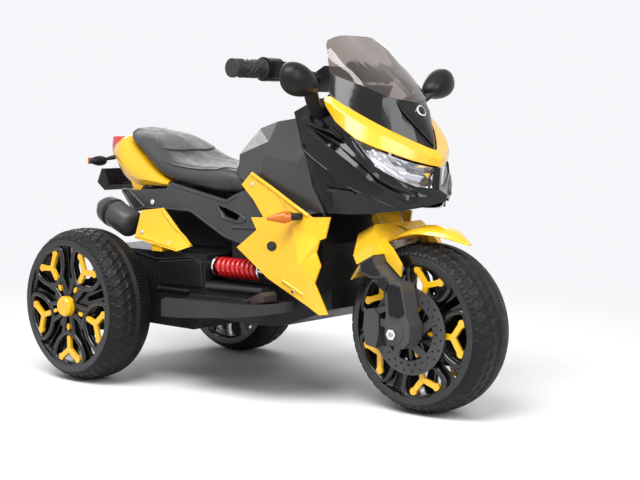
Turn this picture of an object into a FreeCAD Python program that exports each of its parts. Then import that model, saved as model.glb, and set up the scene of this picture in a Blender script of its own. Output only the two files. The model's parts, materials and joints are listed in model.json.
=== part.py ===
import FreeCAD
import Part
import math
import os

V = FreeCAD.Vector
ACROSS = V(0, 1, 0)

# Overall sizes, in mm. X points forward, Y to the left, Z up, floor at Z = 0.
OVERALL_L = 1071.0
WHEELBASE = 727.5
FRONT_X = 375.5
RAKE = 27.0
WALL = 3.0
GAP = 0.4
RUN = 0.1

# Wheels
WHEEL_R = 160.0
TYRE_W = 110.0
TREAD_HALF = 20.0
TREAD_DROP = 1.5
SHOULDER_Y = 40.0
SHOULDER_DROP = 7.5
RIM_R = 139.0
RIM_LIP_T = 6.0
BARREL_R = 131.0
BARREL_T = 5.0
WEB_SET_BACK = 5.0
WEB_T = 14.0
HUB_R = 30.0
SPOKE_PAIRS = 5
WINDOW_OUT_R = 122.0
WINDOW_HALF_ANGLE = 23.0
WINDOW_MID_R = 86.0
WINDOW_APEX_R = 62.0
SLOT_IN_R = 58.0
Y_BAR_R = 5.5
Y_BALL_R = 7.5
Y_FORK_R = 92.0
Y_PROUD = 2.0
Y_DEPTH = 12.0
PEG_R = 4.0
PEG_AT_R = 44.0
HUB_CAP_R = 21.0
HUB_CAP_L = 17.0
HUB_CAP_WALL = 4.0
FRONT_PHASE = -2.0
REAR_PHASE = -18.0

# Axles and brakes
FRONT_AXLE_R = 5.0
REAR_AXLE_R = 6.0
NUT_R = 9.0
NUT_L = 8.0
DISC_R = 82.0
DISC_IN_R = 55.0
DISC_T = 3.0
DISC_STANDOFF = 3.0
DISC_HOLES = 24
DISC_HOLE_R = 2.2

# Fork, stem and handlebar
LEG_IN = 66.0
LEG_OUT = 104.0
LEG_TOP = 165.0
CROWN_TOP = 202.0
CROWN_MID = 183.0
CROWN_BACK = 18.0
CROWN_LEAD = 20.0
CAP_LOW = 145.0
SHOULDER_IN = 36.0
NECK_R = 27.0
STEM_R = 14.0
STEM_TOP = 505.0
HEAD_LOW = 240.0
HEAD_HIGH = 430.0
HEAD_IN_R = 19.0
HEAD_WALL = 4.0
BUSH_L = 22.0
BUSH_FLANGE_T = 4.0
BAR_R = 11.0
BAR_X = 92.0
BAR_H = 483.0
BAR_HALF = 228.0
BAR_BEND_Y = 100.0
CLAMP_T = 34.0
GRIP_R = 16.0
GRIP_IN = 152.0
GRIP_END_T = 5.0
SWITCH_R = 23.0
SWITCH_IN = 112.0
SWITCH_OUT = 150.0
BUTTON_R = 6.0
BUTTON_PLAY = 0.3

# Body boxes, heights from the axle line
BODY_HALF = 148.0
WHEEL_SIDE_GAP = 25.0
BODY_WALL = 4.0
PAN_LOW = -10.0
PAN_HIGH = 62.0
PAN_REAR = -75.0
PAN_FRONT = 200.0
HOUSING_OVERHANG = 88.0
HOUSING_SLOPE = 35.0
GEARS_W = 44.0
MOTOR_L = 62.0
MOTOR_R = 18.0
HOUSING_LOW = -40.0
HOUSING_HIGH = 115.0
CORE_HIGH = 205.0
FRAME_IN = 100.0
FRAME_T = 8.0
BOARD_W = 77.0
BOARD_WHEEL_GAP = 45.0
BOARD_LOW = 0.0
BOARD_HIGH = 40.0
BOARD_RISE = 0.033
BOARD_FLOOR = 28.0
BOARD_RIM = 8.0
RIB_STEP = 20.0
RIB_FRONT = 60.0
SHOCK_Y = 123.0
LUG_X = 100.0
MUFFLER_Y = 139.5
MUFFLER_R = 30.0
SHOCK_H = 92.0
SPRING_R = 15.5
SPRING_WIRE_R = 5.0
SPRING_PITCH = 13.5
SPRING_TURNS = 8
SHOCK_BODY_R = 9.0
SOCKET_X = -110.0
SOCKET_H = 85.0
SOCKET_R = 9.0
SOCKET_BORE_R = 2.8
SOCKET_BORE_L = 14.0
PEDAL_X = 94.0
PEDAL_IN = 34.0
PEDAL_L = 46.0
PEDAL_W = 36.0
PEDAL_PIN_R = 3.0

# Places worked out from the sizes above
AXLE_Z = WHEEL_R
TAIL_X = FRONT_X + WHEEL_R - OVERALL_L
MIDDLE_X = FRONT_X + WHEEL_R - OVERALL_L / 2
REAR_X = FRONT_X - WHEELBASE
TYRE_HALF = TYRE_W / 2
REAR_Y = BODY_HALF + WHEEL_SIDE_GAP + TYRE_HALF
WEB_FACE = TYRE_HALF - WEB_SET_BACK
HUB_END = TYRE_HALF + DISC_STANDOFF
DISC_OUT = HUB_END + DISC_T
STEER_UP = V(-math.sin(math.radians(RAKE)), 0, math.cos(math.radians(RAKE)))
STEER_FWD = V(math.cos(math.radians(RAKE)), 0, math.sin(math.radians(RAKE)))
CORE_HALF = FRAME_IN - GAP
HOUSING_REAR = REAR_X - HOUSING_OVERHANG
BOARD_OUT = BODY_HALF + BOARD_W
BOARD_REAR = REAR_X + WHEEL_R + BOARD_WHEEL_GAP
PEDAL_Y = BODY_HALF + PEDAL_IN
FRAME_OUT = FRAME_IN + FRAME_T


# Helpers
def pt(x, y, h):
    return V(x, y, AXLE_Z + h)


def steer(e, y, s):
    return pt(FRONT_X, y, 0) + STEER_FWD * e + STEER_UP * s


def mirrored(shape):
    return shape.mirror(V(0, 0, 0), ACROSS)


def pair(shape):
    return [shape, mirrored(shape)]


def box(x0, x1, y0, y1, h0, h1):
    return Part.makeBox(x1 - x0, y1 - y0, h1 - h0, pt(x0, y0, h0))


def rod(a, b, r):
    return Part.makeCylinder(r, a.distanceToPoint(b), a, b - a)


def strut(a, b, r):
    return rod(a, b, r).fuse(Part.makeSphere(r, b))


def extruded(points, along):
    return Part.Face(Part.makePolygon(points + points[:1])).extrude(along)


def prism(outline, y0, y1):
    return extruded([pt(x, y0, h) for x, h in outline], V(0, y1 - y0, 0))


def plan_prism(outline, h0, h1):
    return extruded([pt(x, y, h0) for x, y in outline], V(0, 0, h1 - h0))


def steer_prism(outline, y0, y1):
    return extruded([steer(e, y0, s) for e, s in outline], V(0, y1 - y0, 0))


def turned(profile):
    points = [V(0, y, r) for y, r in profile]
    return Part.Face(Part.makePolygon(points + points[:1])).revolve(V(0, 0, 0), ACROSS, 360)


def fused(shapes):
    return shapes[0].multiFuse(shapes[1:]).removeSplitter()


def moved(shape, x, y, h):
    copy = shape.copy()
    copy.translate(pt(x, y, h))
    return copy


def grid(rows):
    return [[pt(*p) for p in row] for row in rows]


def whole(rows):
    """Right-half rows that end on the middle plane, carried over to the left."""
    return [row + [V(p.x, -p.y, p.z) for p in reversed(row[:-1])] for row in rows]


def normals(rows, centre):
    last_i = len(rows) - 1
    last_j = len(rows[0]) - 1
    found = []
    for i, row in enumerate(rows):
        line = []
        for j, p in enumerate(row):
            along = rows[min(i + 1, last_i)][j] - rows[max(i - 1, 0)][j]
            over = row[min(j + 1, last_j)] - row[max(j - 1, 0)]
            n = along.cross(over)
            n.normalize()
            line.append(n)
        found.append(line)
    i, j = last_i // 2, last_j // 2
    if found[i][j].dot(rows[i][j] - centre) < 0:
        found = [[n * -1 for n in line] for line in found]
    return found


def sunk(rows, depth, centre):
    lines = normals(rows, centre)
    return [[p - n * depth for p, n in zip(row, line)] for row, line in zip(rows, lines)]


def closed(faces):
    shell = Part.makeShell(faces)
    shell.sewShape()
    solid = Part.makeSolid(shell)
    if solid.Volume < 0:
        solid.reverse()
    return solid


def patch(a, b, c, d):
    return Part.makeRuledSurface(Part.makeLine(a, b), Part.makeLine(d, c), 1)


def facet_shell(rows, wall, centre, holes=()):
    """Panel of flat-edged cells with an even wall; holes are cells left open."""
    inner = sunk(rows, wall, centre)
    faces = []
    rims = {}
    for i in range(len(rows) - 1):
        for j in range(len(rows[0]) - 1):
            if (i, j) in holes:
                continue
            loop = [(i, j), (i, j + 1), (i + 1, j + 1), (i + 1, j)]
            for skin in (rows, inner):
                faces.append(patch(*[skin[a][b] for a, b in loop]))
            for start, end in zip(loop, loop[1:] + loop[:1]):
                key = frozenset((start, end))
                rims[key] = None if key in rims else (start, end)
    for edge in rims.values():
        if edge:
            (a, b), (c, d) = edge
            faces.append(patch(rows[a][b], rows[c][d], inner[c][d], inner[a][b]))
    return closed(faces)


def smooth_line(points, steps=4):
    """Points along a smooth line through the given ones, without overshoot."""
    ends = [points[0] * 2 - points[1]] + points + [points[-1] * 2 - points[-2]]
    knots = [0.0]
    for a, b in zip(ends, ends[1:]):
        knots.append(knots[-1] + math.sqrt(a.distanceToPoint(b)))
    made = []
    for k in range(1, len(ends) - 2):
        span = knots[k + 1] - knots[k]
        ways = []
        for j in (k, k + 1):
            before = (ends[j] - ends[j - 1]) * (1 / (knots[j] - knots[j - 1]))
            after = (ends[j + 1] - ends[j]) * (1 / (knots[j + 1] - knots[j]))
            share = (knots[j] - knots[j - 1]) / (knots[j + 1] - knots[j - 1])
            ways.append((before * (1 - share) + after * share) * span)
        for step in range(steps):
            t = step / steps
            made.append(ends[k] * (2 * t ** 3 - 3 * t ** 2 + 1) + ways[0] * (t ** 3 - 2 * t ** 2 + t)
                        + ends[k + 1] * (3 * t ** 2 - 2 * t ** 3) + ways[1] * (t ** 3 - t ** 2))
    return made + [points[-1]]


def smooth_grid(rows):
    lines = [smooth_line(row) for row in rows]
    columns = [smooth_line(list(column)) for column in zip(*lines)]
    return [list(row) for row in zip(*columns)]


def spline_surface(rows):
    surface = Part.BSplineSurface()
    surface.interpolate(rows)
    return surface


def spline_shell(rows, wall, centre):
    """Panel with a smooth outer face through the rows and an even wall."""
    fine = smooth_grid(rows)
    outer = spline_surface(fine)
    inner = spline_surface(sunk(fine, wall, centre))
    faces = [outer.toShape(), inner.toShape()]
    for k in (0, 1):
        ends = [s.uIso(s.bounds()[k]).toShape() for s in (outer, inner)]
        sides = [s.vIso(s.bounds()[k + 2]).toShape() for s in (outer, inner)]
        faces.append(Part.makeRuledSurface(*ends, 1))
        faces.append(Part.makeRuledSurface(*sides, 1))
    return closed(faces)


def hits(solid, start, direction, reach=600.0):
    """Distances along a line at which it enters and leaves a solid."""
    line = Part.makeLine(start, start + direction * reach)
    inside = line.common(solid)
    return sorted(start.distanceToPoint(v.Point) for v in inside.Vertexes)


def on_side(solid, x, h):
    """Point on the right-hand skin of a solid, and the way out of it there."""
    points = []
    for dx, dh in ((0, 0), (2, 0), (0, 2)):
        start = pt(x + dx, -400, h + dh)
        points.append(start + ACROSS * hits(solid, start, ACROSS)[0])
    out = (points[1] - points[0]).cross(points[2] - points[0])
    out.normalize()
    return points[0], out


# Wheels
def polar(r, degrees):
    return V(r * math.cos(math.radians(degrees)), 0, r * math.sin(math.radians(degrees)))


def tyre():
    seat_r = RIM_R + GAP
    bead = TYRE_HALF - RIM_LIP_T - GAP
    left = [V(0, -TYRE_HALF, seat_r), V(0, -SHOULDER_Y, WHEEL_R - SHOULDER_DROP),
            V(0, -TREAD_HALF, WHEEL_R - TREAD_DROP)]
    right = [V(0, -p.y, p.z) for p in left]
    curves = [Part.Arc(*left), Part.Arc(left[2], V(0, 0, WHEEL_R), right[2]), Part.Arc(*reversed(right))]
    seat = [right[0], V(0, bead, seat_r), V(0, bead, BARREL_R + GAP),
            V(0, -bead, BARREL_R + GAP), V(0, -bead, seat_r), left[0]]
    edges = [c.toShape() for c in curves]
    edges += [Part.makeLine(a, b) for a, b in zip(seat, seat[1:])]
    return Part.Face(Part.Wire(edges)).revolve(V(0, 0, 0), ACROSS, 360)


def window(angle, y0, y1):
    """Opening that takes one Y insert: a shield, narrow at the hub."""
    side = WINDOW_HALF_ANGLE
    corners = [polar(WINDOW_OUT_R, angle - side), polar(WINDOW_OUT_R, angle + side),
               polar(WINDOW_MID_R, angle + side), polar(WINDOW_APEX_R, angle + 8),
               polar(WINDOW_APEX_R, angle - 8), polar(WINDOW_MID_R, angle - side)]
    edges = [Part.Arc(corners[0], polar(WINDOW_OUT_R, angle), corners[1]).toShape()]
    edges += [Part.makeLine(a, b) for a, b in zip(corners[1:], corners[2:] + corners[:1])]
    face = Part.Face(Part.Wire(edges))
    face.translate(V(0, y0, 0))
    return face.extrude(V(0, y1 - y0, 0))


def slot(angle, y0, y1):
    out = polar(WINDOW_OUT_R, angle)
    base = polar(SLOT_IN_R, angle)
    side = polar(1, angle + 90)
    points = [base + side * 4, out + side * 8, out - side * 8, base - side * 4]
    points = [p + V(0, y0, 0) for p in points]
    return extruded(points, V(0, y1 - y0, 0))


def rim(phase, faces, hub_low, hub_high, bore_r):
    """Rim with a spoked web on each named face (-1 right, 1 left)."""
    lip = TYRE_HALF - RIM_LIP_T
    in_r = BARREL_R - BARREL_T
    solids = [turned([(-TYRE_HALF, in_r), (-TYRE_HALF, RIM_R), (-lip, RIM_R), (-lip, BARREL_R),
                      (lip, BARREL_R), (lip, RIM_R), (TYRE_HALF, RIM_R), (TYRE_HALF, in_r)])]
    cuts = [Part.makeCylinder(bore_r, TYRE_W * 2, V(0, -TYRE_W, 0), ACROSS)]
    for face in faces:
        y0, y1 = sorted((face * WEB_FACE, face * (WEB_FACE - WEB_T)))
        solids.append(Part.makeCylinder(in_r + BARREL_T / 2, y1 - y0, V(0, y0, 0), ACROSS))
        for k in range(SPOKE_PAIRS):
            angle = phase + 360 / SPOKE_PAIRS * k
            cuts.append(window(angle, y0 - 1, y1 + 1))
            cuts.append(slot(angle + 180 / SPOKE_PAIRS, y0 - 1, y1 + 1))
    solids.append(Part.makeCylinder(HUB_R, hub_high - hub_low, V(0, hub_low, 0), ACROSS))
    return fused(solids).cut(Part.makeCompound(cuts))


def capsule(a, b, r, y0, y1):
    side = (b - a).cross(ACROSS)
    side.normalize()
    points = [a + side * r, b + side * r, b - side * r, a - side * r]
    bar = extruded([p + V(0, y0, 0) for p in points], V(0, y1 - y0, 0))
    ends = [Part.makeCylinder(r, y1 - y0, p + V(0, y0, 0), ACROSS) for p in (a, b)]
    return fused([bar] + ends)


def y_insert(angle, face):
    y0, y1 = sorted((face * (WEB_FACE + Y_PROUD), face * (WEB_FACE + Y_PROUD - Y_DEPTH)))
    fork = polar(Y_FORK_R, angle)
    end_r = WINDOW_OUT_R - GAP - Y_BALL_R
    bars = [capsule(polar(WINDOW_APEX_R + GAP + Y_BAR_R, angle), fork, Y_BAR_R, y0, y1)]
    for side in (-1, 1):
        end = polar(end_r, angle + side * 14)
        bars.append(capsule(fork, end, Y_BAR_R, y0, y1))
        bars.append(Part.makeCylinder(Y_BALL_R, y1 - y0, end + V(0, y0, 0), ACROSS))
    return fused(bars)


def inserts(phase, faces):
    made = []
    for face in faces:
        for k in range(SPOKE_PAIRS):
            angle = phase + 360 / SPOKE_PAIRS * k
            made.append(y_insert(angle, face))
            seat = polar(PEG_AT_R, angle) + V(0, face * WEB_FACE, 0)
            made.append(Part.makeCylinder(PEG_R, Y_PROUD + 1, seat, ACROSS * face))
    return made


def hub_cap():
    out = WEB_FACE + HUB_CAP_L
    in_r = HUB_CAP_R - HUB_CAP_WALL
    return turned([(-WEB_FACE, in_r), (-WEB_FACE, HUB_CAP_R), (4 - out, HUB_CAP_R), (-out, HUB_CAP_R - 4),
                   (-out, 0), (HUB_CAP_WALL - out, 0), (HUB_CAP_WALL - out, in_r)])


def brake_disc():
    ring = turned([(-HUB_END, DISC_IN_R), (-HUB_END, DISC_R), (-DISC_OUT, DISC_R), (-DISC_OUT, DISC_IN_R)])
    bore = FRONT_AXLE_R + 1
    boss = turned([(-HUB_END, bore), (-HUB_END, HUB_R), (-DISC_OUT, HUB_R), (-DISC_OUT, bore)])
    arms = [capsule(polar(HUB_R - 4, 72 * k), polar(DISC_IN_R + 3, 72 * k + 24), 7, -DISC_OUT, -HUB_END)
            for k in range(SPOKE_PAIRS)]
    holes = []
    for row, r in enumerate((DISC_IN_R + 8, DISC_R - 8)):
        for k in range(DISC_HOLES):
            at = polar(r, 360 / DISC_HOLES * (k + row / 2)) + V(0, -DISC_OUT - 1, 0)
            holes.append(Part.makeCylinder(DISC_HOLE_R, DISC_T + 2, at, ACROSS))
    return fused([ring, boss] + arms).cut(Part.makeCompound(holes))


def wheel_nodes():
    nodes = {}
    bore = FRONT_AXLE_R + RUN
    nodes["front_tyre"] = [moved(tyre(), FRONT_X, 0, 0)]
    nodes["front_rim"] = [moved(rim(FRONT_PHASE, (-1, 1), -HUB_END, HUB_END, bore), FRONT_X, 0, 0)]
    nodes["front_inserts"] = [moved(s, FRONT_X, 0, 0) for s in inserts(FRONT_PHASE, (-1, 1))]
    nodes["brake_discs"] = pair(moved(brake_disc(), FRONT_X, 0, 0))
    right = {"tyre": [tyre()], "inserts": inserts(REAR_PHASE, (-1,)) + [hub_cap()]}
    hub_in = REAR_Y - BODY_HALF - GAP
    right["rim"] = [rim(REAR_PHASE, (-1, 1), -WEB_FACE, hub_in, REAR_AXLE_R + RUN)]
    for name, solids in right.items():
        placed = [moved(s, REAR_X, -REAR_Y, 0) for s in solids]
        nodes["rear_%s_right" % name] = placed
        nodes["rear_%s_left" % name] = [mirrored(s) for s in placed]
    return nodes


# Axles
def hexagon(x, y, h, r, length):
    points = [pt(x, y, h) + polar(r / math.cos(math.pi / 6), 60 * k) for k in range(6)]
    return extruded(points, V(0, length, 0))


def axle_nodes():
    out = LEG_OUT + 2
    front = rod(pt(FRONT_X, -out - NUT_L - 2, 0), pt(FRONT_X, out, 0), FRONT_AXLE_R)
    head = hexagon(FRONT_X, out, 0, NUT_R, NUT_L)
    nut = hexagon(FRONT_X, -out - NUT_L, 0, NUT_R, NUT_L)
    nut = nut.cut(rod(pt(FRONT_X, -out - NUT_L - 1, 0), pt(FRONT_X, 0, 0), FRONT_AXLE_R + RUN))
    seat = REAR_Y + WEB_FACE + GAP
    rear = rod(pt(REAR_X, -seat - NUT_L - 1, 0), pt(REAR_X, seat + NUT_L + 1, 0), REAR_AXLE_R)
    rear_nut = hexagon(REAR_X, -seat - NUT_L, 0, NUT_R, NUT_L)
    rear_nut = rear_nut.cut(rod(pt(REAR_X, -seat - NUT_L - 1, 0), pt(REAR_X, 0, 0), REAR_AXLE_R + RUN))
    return {"front_axle": [fused([front, head])], "front_axle_nut": [nut],
            "rear_axle": [rear], "rear_axle_nuts": pair(rear_nut)}


# Fork, stem and handlebar
def fork_leg():
    """Slanted upper block that turns upright above the axle, with a foot round it."""
    outline = [(-CROWN_BACK, LEG_TOP), (CROWN_LEAD, LEG_TOP), (CROWN_LEAD, CAP_LOW), (18, 128), (34, 90),
               (56, 73), (40, 16), (40, 0), (25, -26), (5, -32), (-22, -12), (-14, 22), (-2, 38), (14, 74),
               (-4, 110), (-24, 132), (-CROWN_BACK, CAP_LOW)]
    leg = steer_prism(outline, -LEG_OUT, -LEG_IN)
    boss = rod(pt(FRONT_X, -LEG_OUT - 2, 0), pt(FRONT_X, -DISC_OUT - GAP, 0), 20)
    bore = rod(pt(FRONT_X, -LEG_OUT - 9, 0), pt(FRONT_X, 0, 0), FRONT_AXLE_R + RUN)
    groove = steer_prism([(-36, 124), (40, 96), (40, 91), (-36, 119)], -LEG_OUT - 1, -LEG_OUT + 3)
    return fused([leg, boss]).cut(bore).cut(groove)


def crown_block(e0, e1, s0, s1, half):
    """Block across both legs with sloping shoulders."""
    front = [(-half, s0), (-half, LEG_TOP), (SHOULDER_IN - half, s1), (half - SHOULDER_IN, s1),
             (half, LEG_TOP), (half, s0)]
    return extruded([steer(e0, y, s) for y, s in front], STEER_FWD * (e1 - e0))


def steering_stem():
    crown = crown_block(-CROWN_BACK, CROWN_LEAD, LEG_TOP, CROWN_TOP, LEG_OUT)
    under = [(-90, 0), (90, 0), (90, CROWN_MID), (-90, CROWN_MID)]
    crown = crown.cut(steer_prism(under, 4 - LEG_IN, LEG_IN - 4))
    collar = rod(steer(0, 0, CROWN_MID), steer(0, 0, HEAD_LOW - BUSH_FLANGE_T - GAP), HEAD_IN_R + 1)
    tube = rod(steer(0, 0, CROWN_MID), steer(0, 0, STEM_TOP), STEM_R)
    return fused([crown, collar, tube])


def head_bush(s, way):
    sleeve = rod(steer(0, 0, s), steer(0, 0, s + way * BUSH_L), HEAD_IN_R - RUN / 2)
    flange = rod(steer(0, 0, s - way * BUSH_FLANGE_T), steer(0, 0, s), HEAD_IN_R + HEAD_WALL)
    bore = rod(steer(0, 0, s - 50), steer(0, 0, s + 50), STEM_R + RUN)
    return fused([sleeve, flange]).cut(bore)


def handlebar():
    middle = steer(0, 0, STEM_TOP + CLAMP_T / 2)
    top = STEM_TOP + CLAMP_T
    parts = [steer_prism([(-20, STEM_TOP), (20, STEM_TOP), (24, top), (-24, top)],
                         -42, 42)]
    for side in (-1, 1):
        bend = pt(BAR_X, side * BAR_BEND_Y, BAR_H)
        parts.append(rod(pt(BAR_X, side * BAR_HALF, BAR_H), bend, BAR_R))
        parts.append(Part.makeSphere(BAR_R, bend))
        parts.append(rod(bend, middle + V(0, side * 30, 0), BAR_R))
    return fused(parts)


def grip():
    end = BAR_HALF + GAP + GRIP_END_T
    body = rod(pt(BAR_X, -end, BAR_H), pt(BAR_X, -GRIP_IN, BAR_H), GRIP_R)
    flange = rod(pt(BAR_X, -GRIP_IN - 4, BAR_H), pt(BAR_X, -GRIP_IN, BAR_H), GRIP_R + 4)
    cap = rod(pt(BAR_X, -end, BAR_H), pt(BAR_X, 5 - end, BAR_H), GRIP_R + 2)
    bore = rod(pt(BAR_X, -BAR_HALF - GAP, BAR_H), pt(BAR_X, 0, BAR_H), BAR_R + RUN)
    return fused([body, flange, cap]).cut(bore)


def switch_housing():
    body = rod(pt(BAR_X, -SWITCH_OUT, BAR_H), pt(BAR_X, -SWITCH_IN, BAR_H), SWITCH_R)
    front = box(BAR_X, BAR_X + 32, -SWITCH_OUT + 4, -SWITCH_IN - 4, BAR_H - 18, BAR_H + 14)
    bore = rod(pt(BAR_X, -SWITCH_OUT - 1, BAR_H), pt(BAR_X, -SWITCH_IN + 1, BAR_H), BAR_R + RUN)
    return fused([body, front]).cut(bore)


HORN_WAY = V(-math.sqrt(0.5), 0, math.sqrt(0.5))
HORN_Y = (SWITCH_IN + SWITCH_OUT) / 2


def horn_nodes():
    middle = pt(BAR_X, HORN_Y, BAR_H)
    well = rod(middle + HORN_WAY * (BAR_R + 2), middle + HORN_WAY * (SWITCH_R + 9), BUTTON_R + BUTTON_PLAY)
    button = rod(middle + HORN_WAY * (BAR_R + 5.5), middle + HORN_WAY * (SWITCH_R + 5), BUTTON_R)
    housings = pair(switch_housing())
    housings[1] = housings[1].cut(well)
    return {"switch_housings": housings, "horn_button": [button]}


def fender_point(angle, r, y):
    return pt(FRONT_X, y, 0) + polar(r, angle)


def front_fender():
    """Peaked guard over the tyre, with a cap and neck over the fork crown and a tongue before each leg."""
    stations = [(60, 188, 5, 4), (74, 194, 30, 13), (92, 192, 46, 14), (112, 180, 53, 9), (134, 175, 54, 7),
                (150, 174, 54, 6)]
    rows = []
    for angle, r, half, fall in stations:
        rows.append([fender_point(angle, r - fall, -half), fender_point(angle, r - fall * 0.42, -half * 0.8),
                     fender_point(angle, r - fall * 0.12, -half * 0.4), fender_point(angle, r, 0)])
    guard = spline_shell(whole(rows), WALL, pt(FRONT_X, 0, 0))
    skin = GAP + WALL
    cap = crown_block(-CROWN_BACK - skin, CROWN_LEAD + skin, CAP_LOW + 2, CROWN_TOP + skin, LEG_OUT + skin)
    neck = rod(steer(0, 0, CROWN_TOP), steer(0, 0, HEAD_LOW - BUSH_FLANGE_T - 2), NECK_R)
    room = crown_block(-CROWN_BACK - GAP, CROWN_LEAD + GAP, 0, CROWN_TOP + GAP, LEG_OUT + GAP)
    bore = rod(steer(0, 0, LEG_TOP), steer(0, 0, HEAD_LOW), HEAD_IN_R + 1 + GAP)
    wheel_room = rod(pt(FRONT_X, -LEG_IN, 0), pt(FRONT_X, LEG_IN, 0), WHEEL_R + 12)
    front = CROWN_LEAD + 1
    tongue = steer_prism([(front, 172), (front, 132), (38, 94), (50, 114), (44, 146), (34, 174)],
                         -LEG_IN - 8, -LEG_IN - 4)
    cover = fused([cap, neck]).cut(room).cut(bore).cut(wheel_room)
    return fused([guard, cover] + pair(tongue))


def brake_caliper():
    outline = [(284, 0), (290, -32), (314, -36), (322, -8), (322, 26), (308, 38), (288, 34)]
    body = prism(outline, -LEG_IN - 16, -DISC_OUT - 2)
    arm = prism([(318, 6), (362, 2), (362, 16), (318, 20)], -LEG_IN - 12, -DISC_OUT - 2)
    lug = prism([(300, 20), (362, 46), (362, 54), (300, 34)], -LEG_IN - 12, -DISC_OUT - 2)
    return fused([body, arm, lug]).cut(fork_leg())


def steering_nodes():
    nodes = {"steering_stem": [steering_stem()], "fork_legs": pair(fork_leg()),
             "front_fender": [front_fender()], "handlebar": [handlebar()], "grips": pair(grip()),
             "brake_calipers": pair(brake_caliper()),
             "steering_bushes": [head_bush(HEAD_LOW, 1), head_bush(HEAD_HIGH, -1)]}
    nodes.update(horn_nodes())
    return nodes



# Body boxes
def inset_face(points, wall):
    return Part.Face(Part.makePolygon(points + points[:1]).makeOffset2D(-wall, 2))


def hollow_prism(outline, half, wall):
    room = inset_face([pt(x, 0, h) for x, h in outline], wall)
    room.translate(V(0, wall - half, 0))
    return prism(outline, -half, half).cut(room.extrude(V(0, 2 * (half - wall), 0)))


def chassis_pan():
    plan = [(PAN_REAR, -BODY_HALF), (90, -BODY_HALF), (PAN_FRONT, -75),
            (PAN_FRONT, 75), (90, BODY_HALF), (PAN_REAR, BODY_HALF)]
    side = [(PAN_REAR, PAN_HIGH), (PAN_REAR, PAN_LOW), (120, PAN_LOW), (PAN_FRONT, 24), (PAN_FRONT, PAN_HIGH)]
    solid = prism(side, -BODY_HALF, BODY_HALF).common(plan_prism(plan, PAN_LOW, PAN_HIGH))
    from_top = inset_face([pt(x, y, PAN_LOW) for x, y in plan], BODY_WALL)
    from_top = from_top.extrude(V(0, 0, PAN_HIGH - PAN_LOW))
    from_side = inset_face([pt(x, -BODY_HALF, h) for x, h in side], BODY_WALL)
    from_side = from_side.extrude(V(0, 2 * BODY_HALF, 0))
    mouth = box(-30, 180, 12 - CORE_HALF, CORE_HALF - 12, PAN_HIGH - 10, PAN_HIGH + 10)
    return solid.cut(from_top.common(from_side)).cut(mouth)


def board_floor(x):
    return BOARD_FLOOR + x * BOARD_RISE


def footboard():
    rear, inner = BOARD_REAR, BODY_HALF
    plan = [(rear, -inner), (rear + 4, -inner - 58), (rear + 25, -BOARD_OUT), (104, -BOARD_OUT),
            (150, -inner - 60), (167, -inner - 26), (167, -inner)]
    side = [(rear, BOARD_LOW - 6), (rear + 87, BOARD_LOW - 2), (104, 16), (168, 26), (168, BOARD_HIGH + 4),
            (104, BOARD_HIGH), (rear + 35, BOARD_HIGH - 6), (rear + 5, 12)]
    solid = plan_prism(plan, -40, 80).common(prism(side, -BOARD_OUT, 0))
    inset = inset_face([pt(x, y, -40) for x, y in plan], BOARD_RIM)
    over = prism([(rear - 3, board_floor(rear - 3)), (170, board_floor(170)), (170, 90), (rear - 3, 90)],
                 -BOARD_OUT, 0)
    tray = solid.cut(inset.extrude(V(0, 0, 120)).common(over))
    ribs = []
    first = rear + 31
    for k in range(math.ceil((RIB_FRONT - first) / RIB_STEP)):
        x = first + RIB_STEP * k
        ribs.append(box(x, x + 6, -inner - 64, -inner - 16, board_floor(x) - 2, board_floor(x) + 3))
    return fused([tray] + ribs)


def pedal_nodes():
    """Pedal wedge on a pin across the right footboard, with an ear on each side of it."""
    floor = board_floor(PEDAL_X)
    pin_h = floor + 8
    half = PEDAL_W / 2
    outline = [(PEDAL_X - 6, pin_h - 5), (PEDAL_X - 6, pin_h + 5), (PEDAL_X + PEDAL_L - 8, floor + 32),
               (PEDAL_X + PEDAL_L, floor + 26), (PEDAL_X + PEDAL_L, floor + 14)]
    wedge = prism(outline, -PEDAL_Y - half, -PEDAL_Y + half)
    pin = rod(pt(PEDAL_X, -PEDAL_Y - half - 5, pin_h), pt(PEDAL_X, -PEDAL_Y + half + 5, pin_h), PEDAL_PIN_R)
    ears = []
    for y0 in (-PEDAL_Y - half - 5, -PEDAL_Y + half + 1):
        ears.append(box(PEDAL_X - 7, PEDAL_X + 7, y0, y0 + 4, floor - 2, pin_h + 7))
    hole = rod(pt(PEDAL_X, -PEDAL_Y - half - 9, pin_h), pt(PEDAL_X, -PEDAL_Y + half + 9, pin_h),
               PEDAL_PIN_R + RUN)
    board = fused([footboard()] + ears).cut(hole)
    return {"accelerator_pedal": [fused([wedge, pin])], "footboards": [board, mirrored(footboard())]}


def rear_housing():
    outline = [(HOUSING_REAR, -10), (HOUSING_REAR, 50), (HOUSING_REAR + HOUSING_SLOPE, HOUSING_HIGH),
               (PAN_REAR, HOUSING_HIGH), (PAN_REAR, -10), (PAN_REAR - HOUSING_SLOPE, HOUSING_LOW),
               (HOUSING_REAR + HOUSING_SLOPE, HOUSING_LOW)]
    shell = hollow_prism(outline, BODY_HALF, BODY_WALL)
    ribs = [box(HOUSING_REAR - 6, HOUSING_REAR + 1, -100, 100, h, h + 6) for h in range(-6, 46, 12)]
    bore = rod(pt(REAR_X, -BODY_HALF - 1, 0), pt(REAR_X, BODY_HALF + 1, 0), REAR_AXLE_R + 2 * RUN)
    port = rod(pt(SOCKET_X, BODY_HALF - BODY_WALL - 1, SOCKET_H), pt(SOCKET_X, BODY_HALF + 1, SOCKET_H),
               SOCKET_R - 2 + RUN)
    return fused([shell] + ribs).cut(bore).cut(port)


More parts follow.
